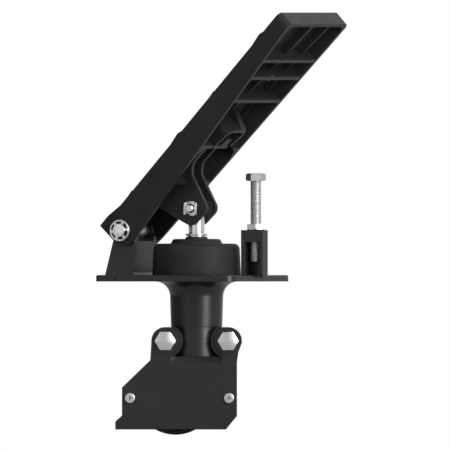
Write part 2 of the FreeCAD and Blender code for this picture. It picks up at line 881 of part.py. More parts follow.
def is_toe_corner(edge):
    """Tell whether an edge stands between the toe and a side wall."""
    box = edge.BoundBox
    upright = box.ZLength > box.YLength and box.ZLength > box.XLength
    return upright and box.XMin > (size("tread_toe_reach") - size("toe_face_lean") - size("past")).value


def is_outer_top_edge(edge):
    """Tell whether an edge bounds the tread at a side or at the toe."""
    top = size("tread_above_hinge").value
    box = edge.BoundBox
    at_heel = box.XMax < 0
    return box.ZMin > top - 0.01 and not at_heel


def trim_sides(body):
    """Cut both sides to the tread's fan shape."""
    past = size("past")
    toe, heel = size("tread_toe_reach") + past, size("tread_heel_reach") + past
    outside = half_width_at(toe) + past
    for name, side in (("near", -1), ("far", 1)):
        sketch = sketch_on(body, name + "_side_outline", "XY", size("tread_above_hinge") + past)
        polygon(sketch, [(toe, side * half_width_at(toe)), (toe, side * outside),
                         (-heel, side * outside), (-heel, side * half_width_at(-heel))])
        cut(body, sketch, name + "_side")


def add_ridges(body):
    """Raise grip ridges across the tread: two tall, two low and the heel ridge."""
    top, sunk = size("tread_above_hinge"), size("tread_above_hinge") - size("overlap")
    first, pitch = size("ridge_first"), size("ridge_pitch")
    low_first = first - size("ridge_low_offset")
    for name, crest in (("toe_ridge", first), ("middle_ridge", first - pitch)):
        ridge(body, name, [(crest + size("ridge_toeward"), sunk), (crest, top + size("ridge_high")),
                           (crest - size("ridge_heelward"), sunk)], crest)
    for name, crest in (("upper_low_ridge", low_first), ("lower_low_ridge", low_first - pitch)):
        ridge(body, name, [(crest + size("ridge_low_toeward"), sunk), (crest, top + size("ridge_low")),
                           (crest - size("ridge_low_heelward"), sunk)], crest)
    heel, rise = -size("tread_heel_reach"), size("ridge_heel")
    ridge(body, "heel_ridge", [(heel, sunk), (heel, top + size("ridge_heel_start")), (0, top + rise),
                               (size("ridge_heel_end"), sunk)], as_size(0.0))


def ridge(body, name, points, crest):
    half = half_width_at(crest) - size("tread_edge_round")
    sketch = sketch_on(body, name + "_outline", "XZ", -half)
    polygon(sketch, points)
    raised(body, sketch, half * 2, name)


def cell_ends():
    """List the lengthwise limits of the open cells between the cross ribs."""
    ribs = [size(f"cross_rib_{number}") for number in range(1, 6)]
    half = size("rib_thick") / 2
    ends = [size("tread_toe_reach") - size("tread_wall")]
    cells = []
    for rib in ribs:
        cells.append((rib + half, ends[-1]))
        ends.append(rib - half)
    cells.append((-size("tread_heel_reach") - size("past"), ends[-1]))
    return cells


def open_cells(body):
    wall, lift = size("tread_wall"), size("tread_above_hinge") - size("tread_thick")
    corners = {1: size("cell_corner"), 5: size("pedal_cell_corner")}
    for index, (low, high) in enumerate(cell_ends(), start=1):
        corner = (corners[index],) if index in corners else ()
        near, far = wall - half_width_at(high), half_width_at(high) - wall
        sketch = sketch_on(body, f"cell_{index}_outline", "XY", lift)
        polygon(sketch, [
            (low, wall - half_width_at(low)), (high, near) + corner, (high, far) + corner,
            (low, half_width_at(low) - wall)])
        cut(body, sketch, f"cell_{index}")
    half = size("bracket_half_width") + size("bush_flange") + size("side_gap")
    sketch = sketch_on(body, "hinge_seat_outline", "XY", lift)
    past = size("past")
    rectangle(sketch, -size("tread_heel_reach") - past, -half, size("heel_depth") + past, half)
    cut(body, sketch, "hinge_seat")


def tread_underside():
    """Level inside the tread from which the ribs grow, so that each runs into it a little."""
    return size("tread_above_hinge") - size("tread_thick") + size("rib_overlap")


def long_rib_depth(lengthwise):
    """Depth of the long ribs' edge below the tread, which grows evenly towards the toe."""
    low_end, high_end = size("cross_rib_4"), size("tread_toe_reach")
    heel_depth, toe_depth = size("long_rib_heel_depth"), size("long_rib_toe_depth")
    return heel_depth + (toe_depth - heel_depth) * (lengthwise - low_end) / (high_end - low_end)


def add_long_ribs(body):
    """Three low ribs along the tread; the near one stops at the first cross rib."""
    top, half = size("tread_above_hinge"), size("long_rib_thick") / 2
    low_end, toe_end = size("cross_rib_4"), size("tread_toe_reach") - size("tread_wall") + size("rib_overlap")
    pitch = size("long_rib_pitch")
    for name, place, high_end in (("near", -pitch, size("cross_rib_1")), ("middle", as_size(0.0), toe_end),
                                  ("far", pitch, toe_end)):
        sketch = sketch_on(body, f"{name}_long_rib_outline", "XZ", -place - half)
        polygon(sketch, [(low_end, tread_underside()), (low_end, top - long_rib_depth(low_end)),
                         (high_end, top - long_rib_depth(high_end)), (high_end, tread_underside())])
        raised(body, sketch, half * 2, f"{name}_long_rib")


def cheek_points():
    """Outline of the lug's cheeks around the clevis pin, in the treadle's frame."""
    along, down = in_treadle(clevis_ahead_of_hinge(), clevis_above_hinge())
    under, rib = tread_underside(), size("cross_rib_4")
    foot, elbow = size("cheek_foot_round"), size("cheek_elbow_round")
    below, shoulder = down - size("cheek_below_pin"), down + size("cheek_shoulder")
    return [
        (along - size("cheek_heel_top"), under),
        (along - size("cheek_heel_bend"), down + size("cheek_heel_bend_rise"), elbow),
        (along - size("cheek_foot_heel"), below, foot), (along + size("cheek_foot_toe"), below, foot),
        (along + size("cheek_shoulder_ahead"), shoulder, elbow), (rib, shoulder), (rib, under)]


def add_cheeks(body):
    gap, thick = size("cheek_gap") / 2, size("cheek_thick")
    for name, start in (("near", gap), ("far", -gap - thick)):
        sketch = sketch_on(body, name + "_cheek_outline", "XZ", start)
        polygon(sketch, cheek_points())
        raised(body, sketch, thick, name + "_cheek")
    sketch = sketch_on(body, "clevis_slot_outline", "XZ", gap + thick + 1)
    polygon(sketch, clevis_slot_points())
    cut(body, sketch, "clevis_slot", (gap + thick + 1) * 2)


def clevis_slot_points():
    """Slot that lets the pin slide towards the hinge as the treadle turns."""
    along, down = in_treadle(clevis_ahead_of_hinge(), clevis_above_hinge())
    rest = root(along * along + down * down)
    nearest = clevis_ahead_of_hinge()
    half = size("clevis_pin_dia") / 2 + size("clevis_slot_gap")
    unit_along, unit_down = along / rest, down / rest
    outer, inner = rest + half, nearest - half
    bevel = half * tangent(as_size(22.5))
    profile = [(outer, -bevel), (outer, bevel), (outer - half + bevel, half), (inner + half - bevel, half),
               (inner, bevel), (inner, -bevel), (inner + half - bevel, -half), (outer - half + bevel, -half)]
    return [(unit_along * reach - unit_down * off, unit_down * reach + unit_along * off)
            for reach, off in profile]


def stop_box_edge(lengthwise):
    """Level of the stop box's open edge, which falls a little towards the toe."""
    return stop_pad_level() - (lengthwise - stop_contact()[0]) * size("stop_box_slope")


def stop_profile(start, end):
    return [(start, tread_underside()), (start, stop_box_edge(start)), (end, stop_box_edge(end)),
            (end, tread_underside())]


def add_stop_box(body):
    """An open box on the cross rib; the pad inside it comes down on the stop bolt's head."""
    low = size("cross_rib_4")
    half, high, wall = size("stop_box_half_width"), low + size("stop_box_long"), size("stop_box_wall")
    corner = size("stop_box_corner")
    deepest = stop_box_edge(high) - 1
    sketch = sketch_on(body, "stop_box_outline", "XY", deepest)
    polygon(sketch, [(low, -half), (high, -half, corner), (high, half, corner), (low, half)])
    raised(body, sketch, tread_underside() - deepest, "stop_box")
    sketch = sketch_on(body, "stop_box_edge_outline", "XZ", half + 1)
    polygon(sketch, [(low, stop_box_edge(low)), (low, deepest - 1), (high + 1, deepest - 1),
                     (high + 1, stop_box_edge(high + 1))])
    cut(body, sketch, "stop_box_edge", (half + 1) * 2)
    start = low + size("rib_thick") / 2
    sketch = sketch_on(body, "stop_box_hollow_outline", "XY", size("tread_above_hinge") - size("tread_thick"))
    polygon(sketch, [(start, wall - half), (high - wall, wall - half, corner - wall),
                     (high - wall, half - wall, corner - wall), (start, half - wall)])
    cut(body, sketch, "stop_box_hollow")
    sketch = sketch_on(body, "stop_pad_outline", "XZ", -size("stop_pad_half_width"))
    polygon(sketch, stop_profile(low, low + size("stop_pad_long")))
    raised(body, sketch, size("stop_pad_half_width") * 2, "stop_pad")
    add_stop_gusset(body, high)


def add_stop_gusset(body, face):
    """A wedge that props the stop box's toe wall."""
    near, far, past = size("stop_gusset_near"), size("stop_gusset_far"), size("past")
    sketch = sketch_on(body, "stop_gusset_outline", "XZ", -far)
    polygon(sketch, [(face - past, tread_underside()), (face - past, stop_box_edge(face)),
                     (face, stop_box_edge(face)), (face + size("stop_gusset_foot"), tread_underside())])
    raised(body, sketch, far - near, "stop_gusset")


def lower_cross_rib_4(body):
    """Cut the far part of the fourth cross rib back from the rim."""
    rib, half = size("cross_rib_4"), size("rib_thick") / 2
    wall, start = size("tread_wall"), size("cheek_gap") / 2 + size("cheek_thick")
    sketch = sketch_on(body, "low_rib_outline", "XY", rim_level(rib) + size("cross_rib_4_low_rise"))
    polygon(sketch, [(rib - half, start), (rib + half, start), (rib + half, half_width_at(rib + half) - wall),
                     (rib - half, half_width_at(rib - half) - wall)])
    cut(body, sketch, "low_rib")


def add_core_pin_boss(body):
    rib = size("cross_rib_2")
    sketch = sketch_on(body, "core_pin_boss_outline", "XY", rim_level(rib))
    circle(sketch, rib, -size("core_pin_boss_side"), size("core_pin_boss_radius"))
    raised(body, sketch, tread_underside() - rim_level(rib), "core_pin_boss")


# Hinge pieces.

def along_hinge(doc, label, outer, inner, start, length):
    """Make a round piece, hollow if an inner radius is given, lying on the hinge axis."""
    body = new_body(doc, label)
    sketch = sketch_on(body, "ring_outline", "XY", start)
    circle(sketch, 0, 0, outer)
    if inner is not None:
        circle(sketch, 0, 0, inner)
    raised(body, sketch, length, "ring")
    return placed(body, -size("hinge_back"), 0, size("hinge_height"), hinge_wise())


def hinge_pin(doc):
    half = hinge_boss_face() + size("push_clip_thick") + size("hinge_pin_overhang") / 2
    body = along_hinge(doc, "hinge_pin", size("hinge_pin_dia") / 2, None, -half, half * 2)
    dressed(body, "Chamfer", "pin_ends", size("pin_bevel"), lambda edge: edge.BoundBox.ZLength < 1e-4)
    return body


def hinge_bush(doc, label, side):
    """A flanged bush in one ear; its sleeve stands out a little inside the fork."""
    bore = size("hinge_pin_dia") / 2 + size("running_gap")
    half, flange = size("bracket_half_width"), size("bush_flange")
    inner_end = half - size("ear_thick") - size("bush_inner_end")
    start = inner_end if side > 0 else -half - flange
    body = along_hinge(doc, label, bore + size("bush_wall"), bore, start, half + flange - inner_end)
    sketch = sketch_on(body, "flange_outline", "XY", half if side > 0 else -half - flange)
    circle(sketch, 0, 0, size("bush_flange_radius"))
    circle(sketch, 0, 0, bore)
    raised(body, sketch, flange, "flange")
    return body


def hinge_bush_near(doc):
    return hinge_bush(doc, "hinge_bush_near", -1)


def hinge_bush_far(doc):
    return hinge_bush(doc, "hinge_bush_far", 1)


def push_clip(doc, label, side):
    """A push-on ring with tongues between slots, gripping one end of the hinge pin."""
    thick, face = size("push_clip_thick"), hinge_boss_face()
    pin = size("hinge_pin_dia") / 2
    start = face if side > 0 else -face - thick
    body = along_hinge(doc, label, size("push_clip_radius"), pin + size("press_gap"), start, thick)
    sketch = sketch_on(body, "slot_outline", "XY", start + thick)
    half, deep = size("push_clip_slot_wide") / 2, size("push_clip_slot_deep")
    rectangle(sketch, pin + deep / 10, -half, pin + deep, half)
    slot = cut(body, sketch, "slot", thick)
    ring = body.newObject("PartDesign::PolarPattern", "slots")
    ring.Originals = [slot]
    ring.Axis = (sketch, ["N_Axis"])
    ring.Angle = 360.0
    ring.setExpression("Occurrences", size("push_clip_slots").text)
    body.Tip = ring
    doc.recompute()
    return body


def push_clip_near(doc):
    return push_clip(doc, "push_clip_near", -1)


def push_clip_far(doc):
    return push_clip(doc, "push_clip_far", 1)


# Stop bolt and lock nut.

def stop_bolt(doc):
    body = new_body(doc, "stop_bolt")
    end, under = size("stop_bolt_end"), size("stop_head_under")
    sketch = sketch_on(body, "shank_outline", "XY", end)
    circle(sketch, 0, 0, size("stop_bolt_dia") / 2)
    raised(body, sketch, under - end, "shank")
    dressed(body, "Chamfer", "lead_in", size("bolt_lead"), lambda edge: edge.BoundBox.ZMax < end.value + 0.01)
    sketch = sketch_on(body, "head_outline", "XY", under)
    hexagon(sketch, as_size(0.0), as_size(0.0), size("stop_head_flats"), size("housing_turn"))
    raised(body, sketch, size("stop_head_thick"), "head")
    return placed(body, size("stop_ahead"))


def lock_nut(doc):
    body = new_body(doc, "lock_nut")
    sketch = sketch_on(body, "nut_outline", "XY", size("stop_block_height"))
    hexagon(sketch, as_size(0.0), as_size(0.0), size("lock_nut_flats"), size("lock_nut_turn"))
    circle(sketch, 0, 0, size("stop_bolt_dia") / 2 + size("thread_gap"))
    raised(body, sketch, size("lock_nut_thick"), "nut")
    return placed(body, size("stop_ahead"))


# Push rod with its clevis pin, clip, boot, guides and springs.

def push_rod(doc):
    body = new_body(doc, "push_rod")
    radius, foot = size("rod_dia") / 2, under_neck("rod_foot_drop")
    top, stub = size("clevis_height") + size("rod_top_over"), size("rod_thread_length")
    sketch = sketch_on(body, "rod_outline", "XY", -foot)
    circle(sketch, 0, 0, radius)
    raised(body, sketch, foot + top, "rod")
    dressed(body, "Chamfer", "rod_top", size("rod_bevel"), lambda edge: edge.BoundBox.ZMin > top.value - 0.01)
    sketch = sketch_on(body, "stub_outline", "XY", -foot)
    circle(sketch, 0, 0, size("rod_thread_dia") / 2)
    raised(body, sketch, stub, "stub", backwards=True)
    keeper_top, keeper = keeper_level(), size("keeper_thick") + size("running_gap")
    waist, over = rod_waist_radius(), radius + size("past")
    turned(body, "keeper_groove", [(waist, keeper_top - keeper), (over, keeper_top - keeper),
                                   (over, keeper_top), (waist, keeper_top)], groove=True)
    sketch = sketch_on(body, "eye_outline", "XZ", radius + 1)
    circle(sketch, 0, size("clevis_height"), size("clevis_pin_dia") / 2)
    cut(body, sketch, "eye")
    return placed(body)


def rod_waist_radius():
    """Radius at the bottom of the rod's groove for the keeper."""
    return size("rod_dia") / 2 - size("keeper_groove")


def keeper_level():
    """Top of the keeper ring, just under the guide plug while the pedal is at rest."""
    return -size("plug_below") - size("running_gap") * 2


def clevis_pin(doc):
    body = new_body(doc, "clevis_pin")
    outer = size("cheek_gap") / 2 + size("cheek_thick")
    near = outer + size("clip_thick") + size("clevis_pin_end")
    sketch = sketch_on(body, "pin_outline", "XY", -near)
    circle(sketch, 0, 0, size("clevis_pin_dia") / 2)
    raised(body, sketch, near + outer + size("side_gap"), "pin")
    dressed(body, "Chamfer", "lead_in", size("pin_bevel"),
            lambda edge: edge.BoundBox.ZMax < 0.01 - near.value)
    sketch = sketch_on(body, "head_outline", "XY", outer + size("side_gap"))
    circle(sketch, 0, 0, size("clevis_pin_dia") / 2 + size("clevis_head_over"))
    raised(body, sketch, size("clevis_pin_head"), "head")
    return placed(body, size("clevis_ahead"), 0, size("clevis_height"), hinge_wise())


def clevis_clip(doc):
    """A folded spring clip that snaps round the near end of the clevis pin."""
    body = new_body(doc, "clevis_clip")
    half, thick = size("clip_side") / 2, size("clip_thick")
    start = -size("cheek_gap") / 2 - size("cheek_thick") - size("side_gap") - thick
    sketch = sketch_on(body, "plate_outline", "XY", start)
    corner, inset = size("clip_corner"), size("clip_wing_inset")
    polygon(sketch, [(-half, -half, corner), (half, -half, corner),
                     (half, half, corner), (-half, half, corner)])
    circle(sketch, 0, 0, size("clevis_pin_dia") / 2 + size("press_gap"))
    raised(body, sketch, thick, "plate")
    sketch = sketch_on(body, "wing_outline", "XY", start)
    rectangle(sketch, -half, inset - half, thick - half, half - inset)
    rectangle(sketch, half - thick, inset - half, half, half - inset)
    raised(body, sketch, size("clip_wing_high"), "wings", backwards=True)
    return placed(body, size("clevis_ahead"), 0, size("clevis_height"), hinge_wise())


def boot(doc):
    body = new_body(doc, "boot")
    foot, waist, wall = size("boot_foot_radius"), size("boot_waist_radius"), size("boot_wall")
    base, shoulder, step = size("plate_thick"), size("boot_shoulder_height"), size("boot_step_height")
    step_radius, curve = size("boot_step_radius"), size("boot_round")
    rod = size("rod_dia") / 2 + size("press_gap")
    turned(body, "skin", [
        (foot - wall, base), (foot, base), (waist, shoulder, size("boot_shoulder_round")),
        (step_radius, shoulder, size("boot_step_round")), (step_radius, step, curve),
        (size("boot_lip_radius"), step), (size("boot_lip_radius"), size("boot_lip_height")),
        (rod, size("boot_lip_height")), (rod, step - wall), (step_radius - wall, step - wall),
        (step_radius - wall, shoulder - wall), (waist - wall, shoulder - wall, curve)])
    return placed(body)


def round_piece(doc, label, outer, inner, start, length):
    """Make a ring or tube about the upright axis."""
    body = new_body(doc, label)
    sketch = sketch_on(body, "ring_outline", "XY", start)
    circle(sketch, 0, 0, outer)
    circle(sketch, 0, 0, inner)
    raised(body, sketch, length, "ring")
    return placed(body)


def boot_ring(doc):
    return round_piece(doc, "boot_ring", size("boot_ring_radius"), size("rod_dia") / 2 + size("press_gap"),
                       size("boot_lip_height"), size("boot_ring_thick"))


def guide_plug(doc):
    thick, bush = size("plate_thick"), rod_bore_radius() + size("guide_wall")
    body = new_body(doc, "guide_plug")
    fit = size("neck_bore_radius") - size("running_gap")
    flange, rise = size("plug_flange_radius"), thick + size("plug_flange_thick")
    turned(body, "plug", [(bush, -size("plug_below")), (fit, -size("plug_below")), (fit, thick),
                          (flange, thick), (flange, rise), (bush, rise)])
    return placed(body)


def guide_bush_top(doc):
    low = size("plug_below")
    length = low + size("plate_thick") + size("plug_flange_thick")
    return round_piece(doc, "guide_bush_top", rod_bore_radius() + size("guide_wall"), rod_bore_radius(),
                       -low, length)


def guide_bush_bottom(doc):
    return round_piece(doc, "guide_bush_bottom", rod_bore_radius() + size("guide_wall"), rod_bore_radius(),
                       -size("neck_length"), size("neck_floor_thick"))


def rod_keeper(doc):
    thick = size("keeper_thick")
    return round_piece(doc, "rod_keeper", size("keeper_radius"), rod_waist_radius() + size("press_gap"),
                       keeper_level() - thick, thick)


def spring_seat(doc):
    thick = size("seat_thick")
    start = keeper_level() - size("keeper_thick") - thick
    inner = size("rod_dia") / 2 + size("press_gap")
    return round_piece(doc, "spring_seat", size("seat_radius"), inner, start, thick)


def coil(doc, label, name):
    """A round-wire spring between the neck's floor and the seat on the rod, its wire drawn eight-sided."""
    radius, wire = size(name + "_radius").value, size(name + "_wire").value / 2
    low = size("neck_floor_thick").value - size("neck_length").value + wire
    high = (keeper_level() - size("keeper_thick") - size("seat_thick")).value - wire
    turns = size(name + "_turns").value
    steps = round(turns * COIL_STEPS)
    rings = [coil_ring(radius, wire, 360.0 * turns * step / steps, low + (high - low) * step / steps)
             for step in range(steps + 1)]
    piece = doc.addObject("Part::Feature", label)
    piece.Label = label
    piece.Shape = Part.makeLoft(rings, True, True)
    piece.Placement = FreeCAD.Placement()
    return piece


def coil_ring(radius, wire, turn, height):
    """One eight-sided section of a spring's wire, square to the way round."""
    around = math.radians(turn)
    points = []
    for side in range(COIL_SIDES):
        angle = 2 * math.pi * (side + 0.5) / COIL_SIDES
        reach = radius + wire * math.cos(angle)
        points.append(FreeCAD.Vector(reach * math.cos(around), reach * math.sin(around),
                                     height + wire * math.sin(angle)))
    return Part.makePolygon(points + points[:1])


def outer_spring(doc):
    return coil(doc, "outer_spring", "outer_spring")


def inner_spring(doc):
    return coil(doc, "inner_spring", "inner_spring")


# Sensor housing.  Its pieces are drawn square on to the front: across, up, towards the viewer.

def facing(body):
    return placed(body, rotation=face_on())


def housing_points(with_ears):
    """Outline of the housing's front, counter-clockwise from its lower left corner."""
    bottom, left, right = under_neck("house_bottom_drop"), size("house_left"), size("house_right")
    seat, half = size("neck_length"), size("house_seat_half")
    shoulder, knee = size("house_left_shoulder"), under_neck("house_left_knee_drop")
    points = [
        (-size("house_left_toe"), -bottom), (size("house_right_foot"), -bottom),
        (right, -under_neck("house_right_knee_drop")), (right, -under_neck("house_right_waist_drop"))]
    if with_ears:
        points += [(size("house_right_ear_side"), size("house_right_ear_rise") - size("neck_length"))]
        points += ear_points(1) + [(half, -seat), (-half, -seat)] + ear_points(-1)[::-1]
    else:
        points += [(right, -seat), (-shoulder, -seat)]
    points += [
        (-shoulder, -under_neck("house_left_shoulder_drop")), (-left, -knee),
        (-left, -under_neck("house_left_foot_drop")),
        (-size("house_left_toe"), -under_neck("house_left_toe_drop"))]
    return points


def ear_points(side):
    """One ear, from its outer flank over the top to where it meets the neck's seat."""
    span, depth, curve = size("lug_half_span"), lug_depth(), size("ear_round")
    outer, inner, top = span + curve, span - curve, curve - depth
    rounding = curve - size("press_gap")
    return [
        (side * outer, -depth - size("ear_flank_drop")), (side * outer, top, rounding),
        (side * inner, top, rounding), (side * inner, -depth),
        (side * (inner + size("ear_waist_in")), -depth - size("ear_waist_drop")),
        (side * size("house_seat_half"), -depth - size("ear_foot_drop"))]


def cavity_points():
    """Outline of the housing's hollow, one wall in from the outside."""
    wall, bottom = size("house_wall"), under_neck("house_bottom_drop")
    left, right = size("house_left") - wall, size("house_right") - wall
    top = -size("neck_length") - size("house_deck")
    return [
        (-left, wall - bottom), (size("house_right_foot") - wall / 2, wall - bottom),
        (right, wall / 2 - under_neck("house_right_knee_drop")), (right, top),
        (wall / 2 - size("house_left_shoulder"), top),
        (-left, -wall / 2 - under_neck("house_left_knee_drop"))]


def screw_places():
    depth = under_neck("cover_screw_drop")
    return [(-size("cover_screw_left"), -depth), (size("cover_screw_right"), -depth)]


def bolt_places():
    span, depth = size("lug_half_span"), lug_depth()
    return [(-span, -depth), (span, -depth)]


def holes(body, name, places, radius, start, depth=None):
    sketch = sketch_on(body, name + "_outline", "XY", start)
    for across, up in places:
        circle(sketch, across, up, radius)
    return cut(body, sketch, name, depth)


def posts(body, name, places, radius, start, length):
    sketch = sketch_on(body, name + "_outline", "XY", start)
    for across, up in places:
        circle(sketch, across, up, radius)
    return raised(body, sketch, length, name)


def cover_back():
    return size("house_front") - size("cover_thick")


def housing_rim():
    return cover_back() - size("gasket_thick")


def bolt_hole_radius():
    return size("clamp_bolt_dia") / 2 + size("clamp_hole_gap")


def screw_hole_radius():
    return size("cover_screw_dia") / 2 + size("screw_hole_gap")


def sensor_screw_hole_radius():
    return size("sensor_screw_dia") / 2 + size("thread_gap")


def shaft_place():
    return [(-size("shaft_side"), -under_neck("shaft_drop"))]


def shaft_bush_radius():
    return size("shaft_dia") / 2 + size("running_gap") + size("shaft_bush_wall")


def sensor_housing(doc):
    body = new_body(doc, "sensor_housing")
    rim, back, wall = housing_rim(), size("house_back"), size("house_wall")
    sketch = sketch_on(body, "box_outline", "XY", -back)
    polygon(sketch, housing_points(False))
    raised(body, sketch, back + rim, "box")
    ear_back = size("lug_front")
    add_ear_steps(body, ear_back, rim)
    sketch = sketch_on(body, "ears_outline", "XY", ear_back)
    polygon(sketch, housing_points(True))
    raised(body, sketch, rim - ear_back, "ears")
    sketch = sketch_on(body, "neck_room_outline", "XZ", size("neck_length"))
    circle(sketch, 0, 0, size("neck_low_radius") + size("neck_room_gap"))
    cut(body, sketch, "neck_room")
    sketch = sketch_on(body, "cavity_outline", "XY", rim)
    polygon(sketch, cavity_points())
    cut(body, sketch, "cavity", rim + back - wall)
    sketch = sketch_on(body, "seat_outline", "XZ", size("neck_length"))
    circle(sketch, 0, 0, size("spigot_radius") + size("running_gap"))
    cut(body, sketch, "seat", size("house_deck") + size("past"), backwards=True)
    posts(body, "screw_bosses", screw_places(), size("cover_screw_boss"), wall - back, back - wall + rim)
    boss = shaft_bush_radius() + size("shaft_boss_wall")
    sunk = wall - back - size("overlap")
    posts(body, "shaft_boss", shaft_place(), boss, sunk, size("shaft_bush_back") - back - sunk)
    holes(body, "shaft_bore", shaft_place(), shaft_bush_radius(), 0)
    holes(body, "screw_threads", screw_places(), size("cover_screw_dia") / 2 + size("thread_gap"), rim,
          size("screw_thread_deep"))
    holes(body, "bolt_holes", bolt_places(), bolt_hole_radius(), rim, rim - ear_back)
    holes(body, "sensor_threads", sensor_screw_places(), sensor_screw_hole_radius(),
          wall - back + size("past"))
    return facing(body)


def add_ear_steps(body, low, high):
    """Round steps that stand out behind the cover's ears, towards the neck only."""
    posts(body, "ear_steps", bolt_places(), size("ear_step_radius"), low, high - low)
    span, depth, reach = size("lug_half_span"), lug_depth(), size("ear_step_radius") + 1
    top = size("ear_round") - depth
    for name, side in (("left", -1), ("right", 1)):
        sketch = sketch_on(body, name + "_outer_trim_outline", "XY", high)
        rectangle(sketch, *trim_corners(side * span, -depth - reach, side * (span + reach), -depth + reach))
        cut(body, sketch, name + "_outer_trim", high - low)
        sketch = sketch_on(body, name + "_upper_trim_outline", "XY", high)
        rectangle(sketch, *trim_corners(side * (span - reach), top, side * (span + reach), -depth + reach))
        cut(body, sketch, name + "_upper_trim", high - low)


def trim_corners(across_1, up_1, across_2, up_2):
    """Put a rectangle's corners in rising order."""
    if across_1.value > across_2.value:
        across_1, across_2 = across_2, across_1
    return across_1, up_1, across_2, up_2


def housing_gasket(doc):
    body = new_body(doc, "housing_gasket")
    sketch = sketch_on(body, "sheet_outline", "XY", housing_rim())
    polygon(sketch, housing_points(True))
    raised(body, sketch, size("gasket_thick"), "sheet")
    sketch = sketch_on(body, "window_outline", "XY", cover_back())
    polygon(sketch, cavity_points())
    cut(body, sketch, "window")
    posts(body, "screw_eyes", screw_places(), size("cover_screw_boss"), housing_rim(), size("gasket_thick"))
    holes(body, "screw_holes", screw_places(), screw_hole_radius(), cover_back())
    holes(body, "bolt_holes", bolt_places(), bolt_hole_radius(), cover_back())
    return facing(body)


def front_cover(doc):
    body = new_body(doc, "front_cover")
    front, thick = size("house_front"), size("cover_thick")
    sketch = sketch_on(body, "plate_outline", "XY", cover_back())
    polygon(sketch, housing_points(True))
    raised(body, sketch, thick, "plate")
    dressed(body, "Chamfer", "bottom_bevel", size("cover_bevel"),
            lambda edge: edge.BoundBox.YMax < 0.01 - under_neck("house_bottom_drop").value
            and edge.BoundBox.ZMin > front.value - 0.01)
    lip, half, past = size("cover_lip"), size("house_seat_half"), size("past")
    top = -size("neck_length")
    sketch = sketch_on(body, "seat_lip_outline", "YZ", half)
    polygon(sketch, [(top - lip, front), (top + past, front - size("cover_lip_deep")),
                     (top + past, front + past), (top - lip, front + past)])
    cut(body, sketch, "seat_lip", half * 2)
    boss = shaft_bush_radius() + size("shaft_boss_wall")
    deep = size("shaft_bush_front")
    posts(body, "shaft_boss", shaft_place(), boss, cover_back() - deep, deep + size("overlap"))
    sketch = sketch_on(body, "shaft_bore_outline", "XY", cover_back() - deep)
    circle(sketch, *shaft_place()[0], shaft_bush_radius())
    cut(body, sketch, "shaft_bore", deep, backwards=True)
    holes(body, "screw_holes", screw_places(), screw_hole_radius(), front)
    holes(body, "bolt_holes", bolt_places(), bolt_hole_radius(), front)
    return facing(body)


def cover_screws(doc):
    body = new_body(doc, "cover_screws")
    front, length, head = size("house_front"), size("cover_screw_length"), size("cover_screw_head_thick")
    posts(body, "shanks", screw_places(), size("cover_screw_dia") / 2, front - length, length)
    posts(body, "heads", screw_places(), size("cover_screw_head_dia") / 2, front, head)
    dressed(body, "Chamfer", "head_bevels", size("cover_screw_head_bevel"),
            lambda edge: edge.BoundBox.ZMin > front.value + head.value - 0.01)
    return facing(body)


def clamp_bolts(doc):
    body = new_body(doc, "clamp_bolts")
    front, length, head = size("house_front"), size("clamp_bolt_length"), size("clamp_head_thick")
    posts(body, "shanks", bolt_places(), size("clamp_bolt_dia") / 2, front - length, length)
    sketch = sketch_on(body, "heads_outline", "XY", front)
    for across, up in bolt_places():
        hexagon(sketch, across, up, size("clamp_head_flats"), as_size(0.0))
    raised(body, sketch, head, "heads")
    return facing(body)


# Sensor drive.

def shaft_piece(doc, label, outer, inner, start, length):
    body = new_body(doc, label)
    sketch = sketch_on(body, "ring_outline", "XY", start)
    circle(sketch, *shaft_place()[0], outer)
    if inner is not None:
        circle(sketch, *shaft_place()[0], inner)
    raised(body, sketch, length, "ring")
    return facing(body)


def sensor_shaft(doc):
    back = size("shaft_back")
    return shaft_piece(doc, "sensor_shaft", size("shaft_dia") / 2, None, -back, back + size("shaft_front"))


def shaft_bush_front(doc):
    deep = size("shaft_bush_front")
    inner = size("shaft_dia") / 2 + size("running_gap")
    return shaft_piece(doc, "shaft_bush_front", shaft_bush_radius(), inner, cover_back() - deep, deep)


def shaft_bush_back(doc):
    inner = size("shaft_dia") / 2 + size("running_gap")
    return shaft_piece(doc, "shaft_bush_back", shaft_bush_radius(), inner, -size("house_back"),
                       size("shaft_bush_back"))


def drive_lever(doc):
    body = new_body(doc, "drive_lever")
    back, thick = size("lever_back"), size("lever_thick")
    hub, nose = size("lever_hub_radius"), size("lever_nose_radius")
    across, up = shaft_place()[0]
    far_across, far_up = drive_pin_side(), drive_pin_height()
    rest = lever_rest_angle()
    sketch = sketch_on(body, "hub_outline", "XY", back)
    circle(sketch, across, up, hub)
    raised(body, sketch, thick, "hub")
    sketch = sketch_on(body, "nose_outline", "XY", back)
    circle(sketch, far_across, far_up, nose)
    raised(body, sketch, thick, "nose")
    sketch = sketch_on(body, "arm_outline", "XY", back)
    polygon(sketch, [
        (across + sine(rest) * hub * 0.9, up - cosine(rest) * hub * 0.9),
        (far_across + sine(rest) * nose * 0.96, far_up - cosine(rest) * nose * 0.96),
        (far_across - sine(rest) * nose * 0.96, far_up + cosine(rest) * nose * 0.96),
        (across - sine(rest) * hub * 0.9, up + cosine(rest) * hub * 0.9)])
    raised(body, sketch, thick, "arm")
    holes(body, "shaft_hole", shaft_place(), size("shaft_dia") / 2, back + thick)
    holes(body, "pin_hole", [(far_across, far_up)], size("drive_pin_dia") / 2, back + thick)
    return facing(body)


def drive_pin(doc):
    body = new_body(doc, "drive_pin")
    start = -size("fork_deep") / 2
    length = size("lever_back") + size("lever_thick") - start
    posts(body, "pin", [(drive_pin_side(), drive_pin_height())], size("drive_pin_dia") / 2, start, length)
    return facing(body)


